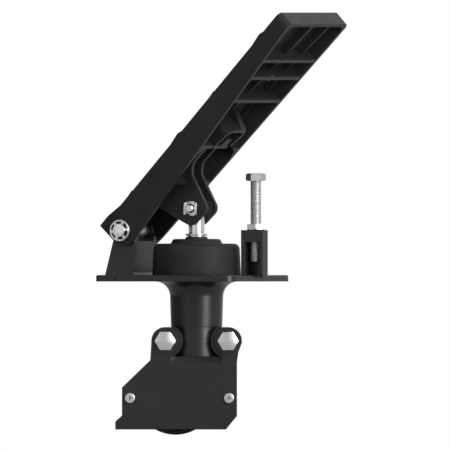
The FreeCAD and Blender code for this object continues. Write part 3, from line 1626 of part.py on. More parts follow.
def drive_fork(doc):
    """A block on the foot of the push rod; its cross slot carries the lever's pin."""
    body = new_body(doc, "drive_fork")
    half, deep, top = size("fork_wide") / 2, size("fork_deep"), -under_neck("rod_foot_drop")
    low = drive_pin_height() - size("fork_under_pin")
    sketch = sketch_on(body, "block_outline", "XY", -deep / 2)
    foot_round, top_round = size("fork_foot_round"), size("fork_top_round")
    polygon(sketch, [(-half, low, foot_round), (half, low, foot_round),
                     (half, top, top_round), (-half, top, top_round)])
    raised(body, sketch, deep, "block")
    reach = size("fork_slot_long") / 2
    middle_place = (drive_pin_side() + size("lever_arm") - size("shaft_side")) / 2
    open_half = size("drive_pin_dia") / 2 + size("drive_pin_gap")
    sketch = sketch_on(body, "slot_outline", "XY", deep / 2)
    height = drive_pin_height()
    rectangle(sketch, middle_place - reach, height - open_half, middle_place + reach, height + open_half)
    cut(body, sketch, "slot")
    sketch = sketch_on(body, "stub_hole_outline", "XZ", -top)
    circle(sketch, 0, 0, size("rod_thread_dia") / 2 + size("thread_gap"))
    cut(body, sketch, "stub_hole", size("rod_thread_length"), backwards=True)
    return facing(body)


# Round sensor cover on the back of the housing.

def around_shaft(radius, count, start):
    """Spread places evenly on a circle about the sensor's shaft."""
    across, up = shaft_place()[0]
    step = 360.0 / count
    turns = [as_size(start + step * index) for index in range(count)]
    return [(across + radius * cosine(turn), up + radius * sine(turn)) for turn in turns]


def sensor_screw_places():
    return around_shaft(size("sensor_bolt_circle"), round(size("sensor_screw_count").value), 90.0)


def cover_floor():
    """Inner face of the sensor cover's end wall."""
    return -size("house_back") - size("sensor_deep") + size("sensor_wall")


def sensor_cover(doc):
    body = new_body(doc, "sensor_cover")
    back, deep, wall = size("house_back"), size("sensor_deep"), size("sensor_wall")
    posts(body, "cup", shaft_place(), size("sensor_radius"), -back - deep, deep)
    dressed(body, "Chamfer", "cup_bevel", size("sensor_bevel"),
            lambda edge: edge.BoundBox.ZMax < 0.01 - back.value - deep.value)
    holes(body, "hollow", shaft_place(), size("sensor_radius") - wall, -back, deep - wall)
    overlap = size("overlap")
    sunk = cover_floor() - overlap
    posts(body, "screw_bosses", sensor_screw_places(), size("sensor_screw_dia"), sunk, deep - wall + overlap)
    posts(body, "board_posts", around_shaft(size("board_post_circle"), 3, 30.0), size("board_post_radius"),
          sunk, size("board_post") + overlap)
    low, high = socket_limits()
    sketch = sketch_on(body, "socket_outline", "XY", -back - deep - size("socket_deep"))
    rectangle(sketch, *low, *high)
    raised(body, sketch, size("socket_deep"), "socket")
    thin = size("socket_wall")
    sketch = sketch_on(body, "socket_hollow_outline", "XY", -back - deep - size("socket_deep"))
    rectangle(sketch, low[0] + thin, low[1] + thin, high[0] - thin, high[1] - thin)
    cut(body, sketch, "socket_hollow", size("socket_deep"), backwards=True)
    sketch = sketch_on(body, "pin_holes_outline", "XY", cover_floor())
    for corners in socket_pin_corners():
        rectangle(sketch, *corners)
    cut(body, sketch, "pin_holes")
    holes(body, "screw_holes", sensor_screw_places(), sensor_screw_hole_radius(), -back)
    return facing(body)


def socket_limits():
    across, up = shaft_place()[0]
    half, tall = size("socket_wide") / 2, size("socket_high") / 2
    centre = up - size("socket_drop")
    return (across - half, centre - tall), (across + half, centre + tall)


def socket_pin_corners():
    across, up = shaft_place()[0]
    centre, half = up - size("socket_drop"), size("socket_pin_side") / 2
    count = round(size("socket_pins").value)
    places = [across + size("socket_pin_pitch") * (index - (count - 1) / 2) for index in range(count)]
    return [(place - half, centre - half, place + half, centre + half) for place in places]


def socket_pins(doc):
    body = new_body(doc, "socket_pins")
    start = -size("house_back") - size("sensor_deep") - size("socket_pin_out")
    sketch = sketch_on(body, "pins_outline", "XY", start)
    for corners in socket_pin_corners():
        rectangle(sketch, *corners)
    raised(body, sketch, cover_floor() + size("board_post") - start, "pins")
    return facing(body)


def sensor_screws(doc):
    body = new_body(doc, "sensor_screws")
    outside = -size("house_back") - size("sensor_deep")
    length = size("sensor_deep") + size("house_wall")
    posts(body, "shanks", sensor_screw_places(), size("sensor_screw_dia") / 2, outside, length)
    sketch = sketch_on(body, "heads_outline", "XY", outside)
    for across, up in sensor_screw_places():
        circle(sketch, across, up, size("sensor_screw_head"))
    raised(body, sketch, size("sensor_head_thick"), "heads", backwards=True)
    return facing(body)


def circuit_board(doc):
    start = cover_floor() + size("board_post")
    return shaft_piece(doc, "circuit_board", size("board_radius"), None, start, size("board_thick"))


def magnet_carrier(doc):
    body = new_body(doc, "magnet_carrier")
    back, thick = size("shaft_back"), size("carrier_thick")
    web = size("carrier_web")
    posts(body, "disc", shaft_place(), size("carrier_radius"), -back - web, thick)
    holes(body, "shaft_hole", shaft_place(), size("shaft_dia") / 2, thick - back - web, thick - web)
    return facing(body)


def magnet(doc):
    thick = size("magnet_thick")
    return shaft_piece(doc, "magnet", size("magnet_radius"), None,
                       -size("shaft_back") - size("carrier_web") - thick, thick)


COIL_SIDES = 8
COIL_STEPS = 20

PIECES = [
    floor_plate, treadle, hinge_pin, hinge_bush_near, hinge_bush_far, push_clip_near, push_clip_far,
    stop_bolt, lock_nut, push_rod, clevis_pin, clevis_clip, boot, boot_ring, guide_plug,
    guide_bush_top, guide_bush_bottom, rod_keeper, spring_seat, outer_spring, inner_spring,
    sensor_housing, housing_gasket, front_cover, cover_screws, clamp_bolts, sensor_shaft,
    shaft_bush_front, shaft_bush_back, drive_lever, drive_pin, drive_fork, sensor_cover,
    socket_pins, sensor_screws, circuit_board, magnet_carrier, magnet]


def main():
    doc = FreeCAD.newDocument("accelerator_pedal")
    fill_sheet(doc)
    bodies = [piece(doc) for piece in PIECES]
    doc.recompute()
    for item in doc.Objects:
        if "Invalid" in item.State or "Error" in item.State:
            raise ValueError(f"{item.Label} did not build: {item.State}")
    for body in bodies:
        if body.Shape.isNull() or not body.Shape.isValid():
            raise ValueError(f"{body.Label} has no sound shape")
    os.makedirs("parts", exist_ok=True)
    for body in bodies:
        body.Shape.exportStep(f"parts/{body.Label}.step")
        box = body.Shape.BoundBox
        limits = [box.XMin, box.YMin, box.ZMin, box.XMax, box.YMax, box.ZMax]
        limits = [round(limit, 1) for limit in limits]
        print(body.Label, len(body.Shape.Solids), round(body.Shape.Volume), limits)


main()
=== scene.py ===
"""A floor-mounted accelerator pedal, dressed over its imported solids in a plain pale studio."""

from __future__ import annotations

import logging
import math
from collections.abc import Iterable, Sequence
from dataclasses import dataclass, field
from enum import Enum

import bmesh
import bpy
from mathutils import Matrix, Vector

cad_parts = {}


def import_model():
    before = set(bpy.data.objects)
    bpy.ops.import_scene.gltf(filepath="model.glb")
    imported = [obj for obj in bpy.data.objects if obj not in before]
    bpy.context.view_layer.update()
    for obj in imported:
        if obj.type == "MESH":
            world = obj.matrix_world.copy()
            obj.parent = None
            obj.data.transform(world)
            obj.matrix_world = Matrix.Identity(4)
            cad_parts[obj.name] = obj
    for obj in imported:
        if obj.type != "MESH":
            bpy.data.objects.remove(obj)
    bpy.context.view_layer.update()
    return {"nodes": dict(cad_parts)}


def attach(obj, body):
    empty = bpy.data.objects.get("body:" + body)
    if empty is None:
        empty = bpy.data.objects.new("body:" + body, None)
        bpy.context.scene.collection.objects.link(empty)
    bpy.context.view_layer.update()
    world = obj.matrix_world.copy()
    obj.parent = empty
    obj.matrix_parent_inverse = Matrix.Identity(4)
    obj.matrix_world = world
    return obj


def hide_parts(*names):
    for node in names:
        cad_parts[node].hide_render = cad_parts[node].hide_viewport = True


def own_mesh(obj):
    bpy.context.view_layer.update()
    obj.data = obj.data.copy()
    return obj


LOG = logging.getLogger("pedal")
MM = 0.001
TURN = math.radians(24.0)
ACROSS = Vector((math.cos(TURN), math.sin(TURN), 0.0))
FRONT = Vector((math.sin(TURN), -math.cos(TURN), 0.0))
UP = Vector((0.0, 0.0, 1.0))

Profile = Sequence[tuple[float, float]]


class Body(Enum):
    """The moving groups of the pedal, by their names in the record."""

    MOUNT = "mount"
    TREADLE = "treadle"
    ROD = "push_rod"
    LEVER = "drive_lever"


class Direction(Enum):
    """Which way a piece's own upright axis points once it is in place."""

    UPRIGHT = "upright"
    HINGE = "hinge"
    FACING = "facing"


# Finishes.


class Shader:
    """A material under construction, with short ways to add and join its nodes."""

    def __init__(self, name: str) -> None:
        """Start an empty material.

        Args:
            name: The material's name.
        """
        self.material = bpy.data.materials.new(name)
        self.material.use_nodes = True
        self.tree = self.material.node_tree
        self.tree.nodes.clear()
        self.output = self.tree.nodes.new("ShaderNodeOutputMaterial")
        self.surface = self.tree.nodes.new("ShaderNodeBsdfPrincipled")
        self.join(self.surface, "BSDF", self.output, "Surface")
        self.place = self.tree.nodes.new("ShaderNodeTexCoord")

    def join(self, start: bpy.types.Node, out: str | int, end: bpy.types.Node, into: str | int) -> None:
        """Join one node's output to another's input.

        Args:
            start: The node that gives the value.
            out: Its output's name or number.
            end: The node that takes it.
            into: Its input's name or number.
        """
        self.tree.links.new(start.outputs[out], end.inputs[into])

    def noise(self, scale: float, detail: float = 3.0, stretch: tuple[float, float, float] = (1, 1, 1)) -> bpy.types.Node:
        """Add noise that follows the piece.

        Args:
            scale: Waves per metre.
            detail: Octaves of finer noise.
            stretch: How much closer the waves lie along each axis.

        Returns:
            The noise node.
        """
        mapping = self.tree.nodes.new("ShaderNodeMapping")
        mapping.inputs["Scale"].default_value = stretch
        self.join(self.place, "Object", mapping, "Vector")
        node = self.tree.nodes.new("ShaderNodeTexNoise")
        node.inputs["Scale"].default_value = scale
        node.inputs["Detail"].default_value = detail
        self.join(mapping, "Vector", node, "Vector")
        return node

    def spread(self, source: bpy.types.Node, low: float, high: float, start: float = 0.3, end: float = 0.7) -> bpy.types.Node:
        """Map a noise's values to a range of numbers.

        Args:
            source: The noise node.
            low: The number at the start value.
            high: The number at the end value.
            start: The noise value that gives the low number.
            end: The noise value that gives the high number.

        Returns:
            The node whose output 0 is the number.
        """
        node = self.tree.nodes.new("ShaderNodeMapRange")
        for name, value in (("From Min", start), ("From Max", end), ("To Min", low), ("To Max", high)):
            node.inputs[name].default_value = value
        self.join(source, 0, node, "Value")
        return node

    def shades(self, source: bpy.types.Node, dark: Sequence[float], light: Sequence[float], out: int = 0) -> bpy.types.Node:
        """Turn a value into a colour between two shades.

        Args:
            source: The node that gives the value.
            dark: The colour at 0.
            light: The colour at 1.
            out: Which output of the source to read.

        Returns:
            The colour ramp node.
        """
        node = self.tree.nodes.new("ShaderNodeValToRGB")
        node.color_ramp.elements[0].color = (*dark, 1.0)
        node.color_ramp.elements[1].color = (*light, 1.0)
        node.color_ramp.elements[0].position = 0.3
        node.color_ramp.elements[1].position = 0.7
        self.join(source, out, node, 0)
        return node

    def relief(self, source: bpy.types.Node, height: float, strength: float, onto: bpy.types.Node | None = None) -> bpy.types.Node:
        """Raise and lower the surface by a noise.

        Args:
            source: The node that gives the height.
            height: The height of a full step, in metres.
            strength: How strongly it shows.
            onto: A bump or bevel node whose normal it builds on.

        Returns:
            The bump node.
        """
        node = self.tree.nodes.new("ShaderNodeBump")
        node.inputs["Strength"].default_value = strength
        node.inputs["Distance"].default_value = height
        self.join(source, 0, node, "Height")
        if onto is not None:
            self.join(onto, "Normal", node, "Normal")
        return node

    def soft_edges(self, radius: float) -> bpy.types.Node:
        """Round the look of sharp edges.

        Args:
            radius: The radius of the rounding, in metres.

        Returns:
            The bevel node.
        """
        node = self.tree.nodes.new("ShaderNodeBevel")
        node.samples = 4
        node.inputs["Radius"].default_value = radius
        return node

    def edge_wear(self, rounded: bpy.types.Node) -> bpy.types.Node:
        """Find where the rounded look leaves the flat one, which is along the edges.

        Args:
            rounded: The bevel node.

        Returns:
            The node whose output 0 is 1 on a worn edge and 0 elsewhere.
        """
        flat = self.tree.nodes.new("ShaderNodeNewGeometry")
        match = self.tree.nodes.new("ShaderNodeVectorMath")
        match.operation = "DOT_PRODUCT"
        self.join(rounded, "Normal", match, 0)
        self.join(flat, "Normal", match, 1)
        node = self.tree.nodes.new("ShaderNodeMapRange")
        node.inputs["From Min"].default_value = 0.995
        node.inputs["From Max"].default_value = 0.88
        self.join(match, "Value", node, "Value")
        return node

    def set(self, **values: float) -> None:
        """Set plain values on the surface shader.

        Args:
            **values: The socket's name, with underscores for spaces, and its value.
        """
        for name, value in values.items():
            self.surface.inputs[name.replace("_", " ")].default_value = value


@dataclass(frozen=True)
class CastCoat:
    """Cast aluminium under a dark satin coat, faintly uneven, with rubbed edges."""

    name: str = "cast_coat"
    dark: tuple[float, float, float] = (0.009, 0.0092, 0.0095)
    light: tuple[float, float, float] = (0.013, 0.0132, 0.0135)
    worn: tuple[float, float, float] = (0.03, 0.03, 0.0305)
    smooth: float = 0.25
    rough: float = 0.32
    mirror: float = 0.5
    grain: float = 900.0
    grain_height: float = 0.00003
    edge: float = 0.0005

    def make(self) -> bpy.types.Material:
        """Build the material.

        Returns:
            The finished material.
        """
        shader = Shader(self.name)
        cloud = shader.noise(38.0, 4.0)
        tone = shader.shades(cloud, self.dark, self.light)
        rounded = shader.soft_edges(self.edge)
        wear = shader.edge_wear(rounded)
        mix = shader.tree.nodes.new("ShaderNodeMix")
        mix.data_type = "RGBA"
        mix.inputs[7].default_value = (*self.worn, 1.0)
        shader.join(wear, 0, mix, 0)
        shader.join(tone, "Color", mix, 6)
        shader.join(mix, 2, shader.surface, "Base Color")
        shader.set(Specular_IOR_Level=self.mirror)
        gloss = shader.spread(shader.noise(160.0, 3.0), self.smooth, self.rough)
        shader.join(gloss, 0, shader.surface, "Roughness")
        bump = shader.relief(shader.noise(self.grain, 2.0), self.grain_height, 0.25, rounded)
        shader.join(bump, "Normal", shader.surface, "Normal")
        return shader.material


@dataclass(frozen=True)
class Steel:
    """Bare or plated steel: metallic, with fine marks along or round the piece."""

    name: str = "zinc_plate"
    dark: tuple[float, float, float] = (0.78, 0.765, 0.755)
    light: tuple[float, float, float] = (0.84, 0.825, 0.815)
    smooth: float = 0.20
    rough: float = 0.27
    marks: float = 3500.0
    stretch: tuple[float, float, float] = (1.0, 1.0, 1.0)
    mark_height: float = 0.000003
    edge: float = 0.00015

    def make(self) -> bpy.types.Material:
        """Build the material.

        Returns:
            The finished material.
        """
        shader = Shader(self.name)
        cloud = shader.noise(90.0, 3.0)
        tone = shader.shades(cloud, self.dark, self.light)
        shader.join(tone, "Color", shader.surface, "Base Color")
        shader.set(Metallic=1.0)
        gloss = shader.spread(shader.noise(260.0, 3.0), self.smooth, self.rough)
        shader.join(gloss, 0, shader.surface, "Roughness")
        rounded = shader.soft_edges(self.edge)
        fine = shader.noise(self.marks, 2.0, self.stretch)
        bump = shader.relief(fine, self.mark_height, 0.3, rounded)
        shader.join(bump, "Normal", shader.surface, "Normal")
        return shader.material


@dataclass(frozen=True)
class Moulded:
    """Moulded rubber or plastic: no metal in it, with a fine even grain."""

    name: str = "boot_rubber"
    dark: tuple[float, float, float] = (0.016, 0.016, 0.017)
    light: tuple[float, float, float] = (0.026, 0.026, 0.027)
    smooth: float = 0.45
    rough: float = 0.6
    grain: float = 1400.0
    grain_height: float = 0.00004
    mirror: float = 0.5
    edge: float = 0.0003

    def make(self) -> bpy.types.Material:
        """Build the material.

        Returns:
            The finished material.
        """
        shader = Shader(self.name)
        cloud = shader.noise(55.0, 4.0)
        tone = shader.shades(cloud, self.dark, self.light)
        shader.join(tone, "Color", shader.surface, "Base Color")
        gloss = shader.spread(shader.noise(210.0, 3.0), self.smooth, self.rough)
        shader.join(gloss, 0, shader.surface, "Roughness")
        shader.set(Specular_IOR_Level=self.mirror)
        rounded = shader.soft_edges(self.edge)
        bump = shader.relief(shader.noise(self.grain, 2.0), self.grain_height, 0.3, rounded)
        shader.join(bump, "Normal", shader.surface, "Normal")
        return shader.material


@dataclass(frozen=True)
class Palette:
    """Every finish on the pedal, made once."""

    cast: bpy.types.Material
    tread: bpy.types.Material
    zinc: bpy.types.Material
    thread: bpy.types.Material
    ground: bpy.types.Material
    drawn: bpy.types.Material
    spring: bpy.types.Material
    bronze: bpy.types.Material
    bush: bpy.types.Material
    rubber: bpy.types.Material
    seal: bpy.types.Material
    plastic: bpy.types.Material
    board: bpy.types.Material

    @classmethod
    def mixed(cls) -> Palette:
        """Make all the finishes.

        Returns:
            The palette.
        """
        return cls(
            cast=CastCoat().make(),
            tread=CastCoat(name="tread_coat", dark=(0.016, 0.0162, 0.0164), light=(0.021, 0.0212, 0.0214),
                           worn=(0.025, 0.025, 0.0253), smooth=0.36, rough=0.44, mirror=0.22).make(),
            zinc=Steel().make(),
            thread=Steel(name="zinc_thread", dark=(0.60, 0.59, 0.58), light=(0.66, 0.65, 0.64), smooth=0.42,
                         rough=0.5).make(),
            ground=Steel(name="ground_steel", dark=(0.84, 0.83, 0.82), light=(0.9, 0.89, 0.88), smooth=0.13,
                         rough=0.19, marks=2400.0, stretch=(1, 1, 6)).make(),
            drawn=Steel(name="drawn_steel", dark=(0.88, 0.87, 0.86), light=(0.93, 0.92, 0.91), smooth=0.4,
                        rough=0.48).make(),
            spring=Steel(name="spring_wire", dark=(0.25, 0.25, 0.25), light=(0.4, 0.4, 0.39)).make(),
            bronze=Steel(name="bronze", dark=(0.5, 0.36, 0.17), light=(0.66, 0.5, 0.26)).make(),
            bush=Moulded(name="bush_plastic", dark=(0.012, 0.012, 0.012), light=(0.02, 0.02, 0.02), smooth=0.3, rough=0.4).make(),
            rubber=Moulded(dark=(0.023, 0.023, 0.0235), light=(0.029, 0.029, 0.0295), mirror=0.14).make(),
            seal=Moulded(name="seal_rubber", dark=(0.006, 0.006, 0.006), light=(0.01, 0.01, 0.01)).make(),
            plastic=Moulded(name="cover_plastic", dark=(0.008, 0.008, 0.008), light=(0.014, 0.014, 0.014), smooth=0.35, rough=0.5).make(),
            board=Moulded(name="board_lacquer", dark=(0.006, 0.05, 0.02), light=(0.01, 0.08, 0.035), smooth=0.2, rough=0.3).make(),
        )


# Shapes.


def spun(profile: Profile, steps: int = 96, closed: bool = True) -> bmesh.types.BMesh:
    """Spin a profile once round the upright axis.

    Args:
        profile: Radius and height of each point, in millimetres.
        steps: How many flats the round gets.
        closed: Whether the last point joins the first, as on a ring.

    Returns:
        The closed shape.
    """
    work = bmesh.new()
    verts = [work.verts.new((radius * MM, 0.0, height * MM)) for radius, height in profile]
    pairs = list(zip(verts, verts[1:])) + ([(verts[-1], verts[0])] if closed else [])
    edges = [work.edges.new(pair) for pair in pairs]
    bmesh.ops.spin(work, geom=verts + edges, cent=(0, 0, 0), axis=(0, 0, 1), dvec=(0, 0, 0),
                   angle=math.tau, steps=steps, use_merge=True, use_duplicate=False)
    bmesh.ops.remove_doubles(work, verts=work.verts, dist=1e-7)
    bmesh.ops.recalc_face_normals(work, faces=work.faces)
    return work


def rounded(points: Sequence[tuple[float, ...]], segments: int = 8, closed: bool = True) -> list[tuple[float, float]]:
    """Round the corners of an outline.

    Args:
        points: Across, up and, where the corner is round, its radius.
        segments: How many pieces each arc gets.
        closed: Whether the outline returns to its start.

    Returns:
        The outline's points, corners replaced by arcs.
    """
    outline: list[tuple[float, float]] = []
    count = len(points)
    for index, point in enumerate(points):
        here = Vector(point[:2])
        at_end = not closed and index in (0, count - 1)
        if len(point) < 3 or at_end:
            outline.append((here.x, here.y))
            continue
        before = (Vector(points[index - 1][:2]) - here).normalized()
        after = (Vector(points[(index + 1) % count][:2]) - here).normalized()
        half = before.angle(after) / 2
        reach = point[2] / math.tan(half)
        centre = here + (before + after).normalized() * (point[2] / math.sin(half))
        start, end = here + before * reach - centre, here + after * reach - centre
        sweep = start.angle_signed(end) * -1
        for step in range(segments + 1):
            turned = start.copy()
            turned.rotate(Matrix.Rotation(sweep * step / segments, 2))
            outline.append((centre.x + turned.x, centre.y + turned.y))
    return outline


def prism(outline: Profile, low: float, high: float) -> bmesh.types.BMesh:
    """Raise a flat outline into a solid.

    Args:
        outline: Across and up of each point, in millimetres.
        low: Height of its underside.
        high: Height of its top.

    Returns:
        The closed shape.
    """
    work = bmesh.new()
    face = work.faces.new([work.verts.new((x * MM, y * MM, low * MM)) for x, y in outline])
    made = bmesh.ops.extrude_face_region(work, geom=[face])
    moved = [item for item in made["geom"] if isinstance(item, bmesh.types.BMVert)]
    bmesh.ops.translate(work, verts=moved, vec=(0, 0, (high - low) * MM))
    bmesh.ops.recalc_face_normals(work, faces=work.faces)
    return work


def softened(work: bmesh.types.BMesh, width: float, angle: float = 30.0, segments: int = 3) -> bmesh.types.BMesh:
    """Bevel every edge that is sharper than an angle.

    Args:
        work: The shape.
        width: Width of the bevel, in millimetres.
        angle: The least turn between faces that counts as sharp, in degrees.
        segments: How many strips the bevel gets.

    Returns:
        The same shape.
    """
    sharp = [edge for edge in work.edges if edge.is_manifold and edge.calc_face_angle(0.0) > math.radians(angle)]
    bmesh.ops.bevel(work, geom=sharp, offset=width * MM, offset_type="OFFSET", segments=segments,
                    profile=0.5, affect="EDGES", material=-1, clamp_overlap=True)
    return work


def hexagonal(flats: float, low: float, high: float, turn: float, top_chamfer: bool = True,
              foot_chamfer: bool = False) -> bmesh.types.BMesh:
    """Make a hexagon whose corners are turned off to a cone, as on a bolt head or nut.

    Args:
        flats: Distance across the flats, in millimetres.
        low: Height of its underside.
        high: Height of its top.
        turn: Where its first corner points, in degrees.
        top_chamfer: Whether the top corners are turned off.
        foot_chamfer: Whether the lower corners are.

    Returns:
        The closed shape.
    """
    work = bmesh.new()
    corner = flats / math.sqrt(3.0) * MM
    bmesh.ops.create_cone(work, cap_ends=True, segments=6, radius1=corner, radius2=corner, depth=(high - low) * MM)
    first = min(work.verts, key=lambda vert: abs(math.atan2(vert.co.y, vert.co.x)))
    lead = math.atan2(first.co.y, first.co.x)
    bmesh.ops.rotate(work, verts=work.verts, cent=(0, 0, 0), matrix=Matrix.Rotation(math.radians(turn) - lead, 3, "Z"))
    bmesh.ops.translate(work, verts=work.verts, vec=(0, 0, (high + low) / 2 * MM))
    slope = math.radians(30.0)
    for level, sign, wanted in ((high, 1.0, top_chamfer), (low, -1.0, foot_chamfer)):
        if not wanted:
            continue
        for step in range(36):
            around = math.tau * step / 36
            normal = Vector((math.cos(around) * math.sin(slope), math.sin(around) * math.sin(slope), sign * math.cos(slope)))
            point = Vector((math.cos(around) * flats * 0.475 * MM, math.sin(around) * flats * 0.475 * MM, level * MM))
            cut = bmesh.ops.bisect_plane(work, geom=work.verts[:] + work.edges[:] + work.faces[:], plane_co=point,
                                         plane_no=normal, clear_outer=True)
            rim = [item for item in cut["geom_cut"] if isinstance(item, bmesh.types.BMEdge)]
            if rim:
                bmesh.ops.contextual_create(work, geom=rim)
    bmesh.ops.recalc_face_normals(work, faces=work.faces)
    return work


def threaded(major: float, pitch: float, low: float, high: float, depth: float = 0.45) -> bmesh.types.BMesh:
    """Wind a screw thread round the upright axis.

    Args:
        major: Outer radius, in millimetres.
        pitch: Rise of one turn.
        low: Height where it starts.
        high: Height where it ends.
        depth: Depth of the thread as a share of the pitch.

    Returns:
        The closed shape.
    """
    work = bmesh.new()
    minor = major - pitch * depth
    steps = 40
    turns = max(1, int((high - low) / pitch) - 1)
    ridge = [(minor, 0.0), (minor, 0.06), (major, 0.36), (major, 0.64), (minor, 0.94), (minor, 1.0)]
    verts = [work.verts.new((radius * MM, 0.0, (low + share * pitch) * MM)) for radius, share in ridge]
    edges = [work.edges.new(pair) for pair in zip(verts, verts[1:])]
    bmesh.ops.spin(work, geom=verts + edges, cent=(0, 0, 0), axis=(0, 0, 1), dvec=(0, 0, pitch * MM / steps),
                   angle=math.tau * turns, steps=steps * turns, use_merge=False, use_duplicate=False)
    bmesh.ops.remove_doubles(work, verts=work.verts, dist=1e-6)
    rim = [edge for edge in work.edges if edge.is_boundary]
    bmesh.ops.holes_fill(work, edges=rim, sides=0)
    bmesh.ops.recalc_face_normals(work, faces=work.faces)
    return work


def merged(parts: Iterable[bmesh.types.BMesh]) -> bmesh.types.BMesh:
    """Put several shapes into one.

    Args:
        parts: The shapes, which are used up.

    Returns:
        The shape that holds them all.
    """
    whole = bmesh.new()
    for part in parts:
        mesh = bpy.data.meshes.new("part")
        part.to_mesh(mesh)
        part.free()
        whole.from_mesh(mesh)
        bpy.data.meshes.remove(mesh)
    return whole


def standing(direction: Direction, spot: Vector) -> Matrix:
    """Say where a piece drawn upright goes.

    Args:
        direction: Which way its upright axis points.
        spot: Where its own origin goes, in metres.

    Returns:
        The matrix that takes it there.
    """
    if direction is Direction.HINGE:
        turn = Matrix.Rotation(math.radians(-90.0), 4, "X")
    elif direction is Direction.FACING:
        turn = Matrix((ACROSS, UP, FRONT)).transposed().to_4x4()
    else:
        turn = Matrix.Identity(4)
    return Matrix.Translation(spot) @ turn


def facing(across: float, up: float, out: float = 0.0) -> Vector:
    """Find a point drawn square on to the front of the sensor housing.

    Args:
        across: Distance to the right of the push rod, in millimetres.
        up: Height above the underside of the floor plate.
        out: Distance towards the viewer.

    Returns:
        The point, in metres.
    """
    return (ACROSS * across + FRONT * out + UP * up) * MM


@dataclass
class Workshop:
    """Turns shapes into pieces: in place, on their body, with their finish."""

    palette: Palette

    def piece(self, name: str, work: bmesh.types.BMesh, place: Matrix, body: Body, finish: bpy.types.Material,
              slot: str, stands_for: Sequence[str] = (), smooth_angle: float = 32.0) -> bpy.types.Object:
        """Make a piece from a shape.

        Args:
            name: The piece's name.
            work: The shape, which is used up.
            place: Where it goes.
            body: The body that it rides on.
            finish: Its material.
            slot: The record's material slot; not used.
            stands_for: The nodes that it is shown in place of.
            smooth_angle: The greatest turn between faces that is shaded smooth, in degrees.

        Returns:
            The piece.
        """
        work.transform(place)
        mesh = bpy.data.meshes.new(name)
        work.to_mesh(mesh)
        work.free()
        mesh.materials.append(finish)
        made = bpy.data.objects.new(name, mesh)
        bpy.context.scene.collection.objects.link(made)
        for polygon in mesh.polygons:
            polygon.use_smooth = True
        mesh.set_sharp_from_angle(angle=math.radians(smooth_angle))
        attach(made, body.value)
        if stands_for:
            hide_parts(*stands_for)
        LOG.info("%s: %d faces on %s", name, len(mesh.polygons), body.value)
        return made


# Sub-assemblies.


@dataclass
class StopScrew:
    """The stop bolt and its lock nut on the stop block."""

    shop: Workshop
    ahead: float = 48.6
    radius: float = 4.15
    pitch: float = 1.25
    foot: float = 14.6
    head_under: float = 75.6
    head_top: float = 81.1
    head_flats: float = 13.0
    nut_foot: float = 38.6
    nut_top: float = 43.0
    nut_turn: float = 54.0
    washer_face: float = 5.7

    def build(self) -> None:
        """Make the bolt and the nut."""
        place = standing(Direction.UPRIGHT, Vector((self.ahead * MM, 0, 0)))
        thread = threaded(self.radius, self.pitch, self.foot + 0.8, self.head_under + 1.6)
        tip = spun([(0, self.foot), (self.radius - 0.9, self.foot), (self.radius - 0.3, self.foot + 0.8),
                    (self.radius - 0.8, self.foot + 2.0), (0, self.foot + 2.0)], 40, closed=False)
        head = hexagonal(self.head_flats, self.head_under, self.head_top, 24.0)
        collar = spun([(0, self.head_under - 0.25), (self.washer_face, self.head_under - 0.25),
                       (self.washer_face, self.head_under + 0.3), (0, self.head_under + 0.3)], 48, closed=False)
        self.shop.piece("stop_bolt_dressed", merged([thread, tip, head, collar]), place, Body.MOUNT,
                        self.shop.palette.thread, "zinc", ["stop_bolt"])
        nut = hexagonal(self.head_flats, self.nut_foot, self.nut_top, self.nut_turn, top_chamfer=False,
                        foot_chamfer=True)
        self.shop.piece("lock_nut_dressed", nut, place, Body.MOUNT, self.shop.palette.zinc, "zinc", ["lock_nut"])


@dataclass
class Boot:
    """The rubber boot round the push rod, with the metal ring on its lip."""

    shop: Workshop
    base: float = 4.9
    foot: float = 33.3
    waist: float = 32.2
    shoulder: float = 28.5
    step_radius: float = 18.7
    step: float = 31.9
    lip_radius: float = 7.9
    lip: float = 33.5
    rod: float = 6.05
    wall: float = 2.4
    ring: float = 8.1
    ring_foot: float = 34.3
    ring_top: float = 35.9
    ring_neck: float = 6.8
    travel: float = 14.79

    def build(self) -> None:
        """Make the boot and its ring."""
        wall = self.wall
        outline = rounded([
            (self.foot - wall, self.base), (self.foot, self.base, 0.35), (self.foot - 0.1, self.base + 2.4, 0.8),
            (self.waist, self.shoulder, 4.6), (self.step_radius + 0.5, self.shoulder, 1.2),
            (self.step_radius - 0.9, self.step, 2.6), (self.lip_radius + 0.6, self.step + 0.1, 0.5),
            (self.lip_radius, self.lip, 0.4), (self.rod, self.lip), (self.rod, self.step - wall, 0.8),
            (self.step_radius - wall, self.step - wall, 0.8), (self.step_radius - wall, self.shoulder - wall, 0.8),
            (self.waist - wall, self.shoulder - wall, 3.0)], 7)
        skin = self.shop.piece("boot_dressed", spun(outline, 144), standing(Direction.UPRIGHT, Vector()), Body.MOUNT,
                               self.shop.palette.rubber, "boot_rubber", ["boot"], 40.0)
        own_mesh(skin)
        ring = spun(rounded([(self.rod, self.lip), (self.ring_neck, self.lip), (self.ring_neck, self.ring_foot),
                             (self.ring, self.ring_foot, 0.3), (self.ring, self.ring_top, 0.4),
                             (self.rod, self.ring_top, 0.2)], 4), 72)
        self.shop.piece("boot_ring_dressed", ring, standing(Direction.UPRIGHT, Vector()), Body.ROD,
                        self.shop.palette.zinc, "zinc", ["boot_ring"])


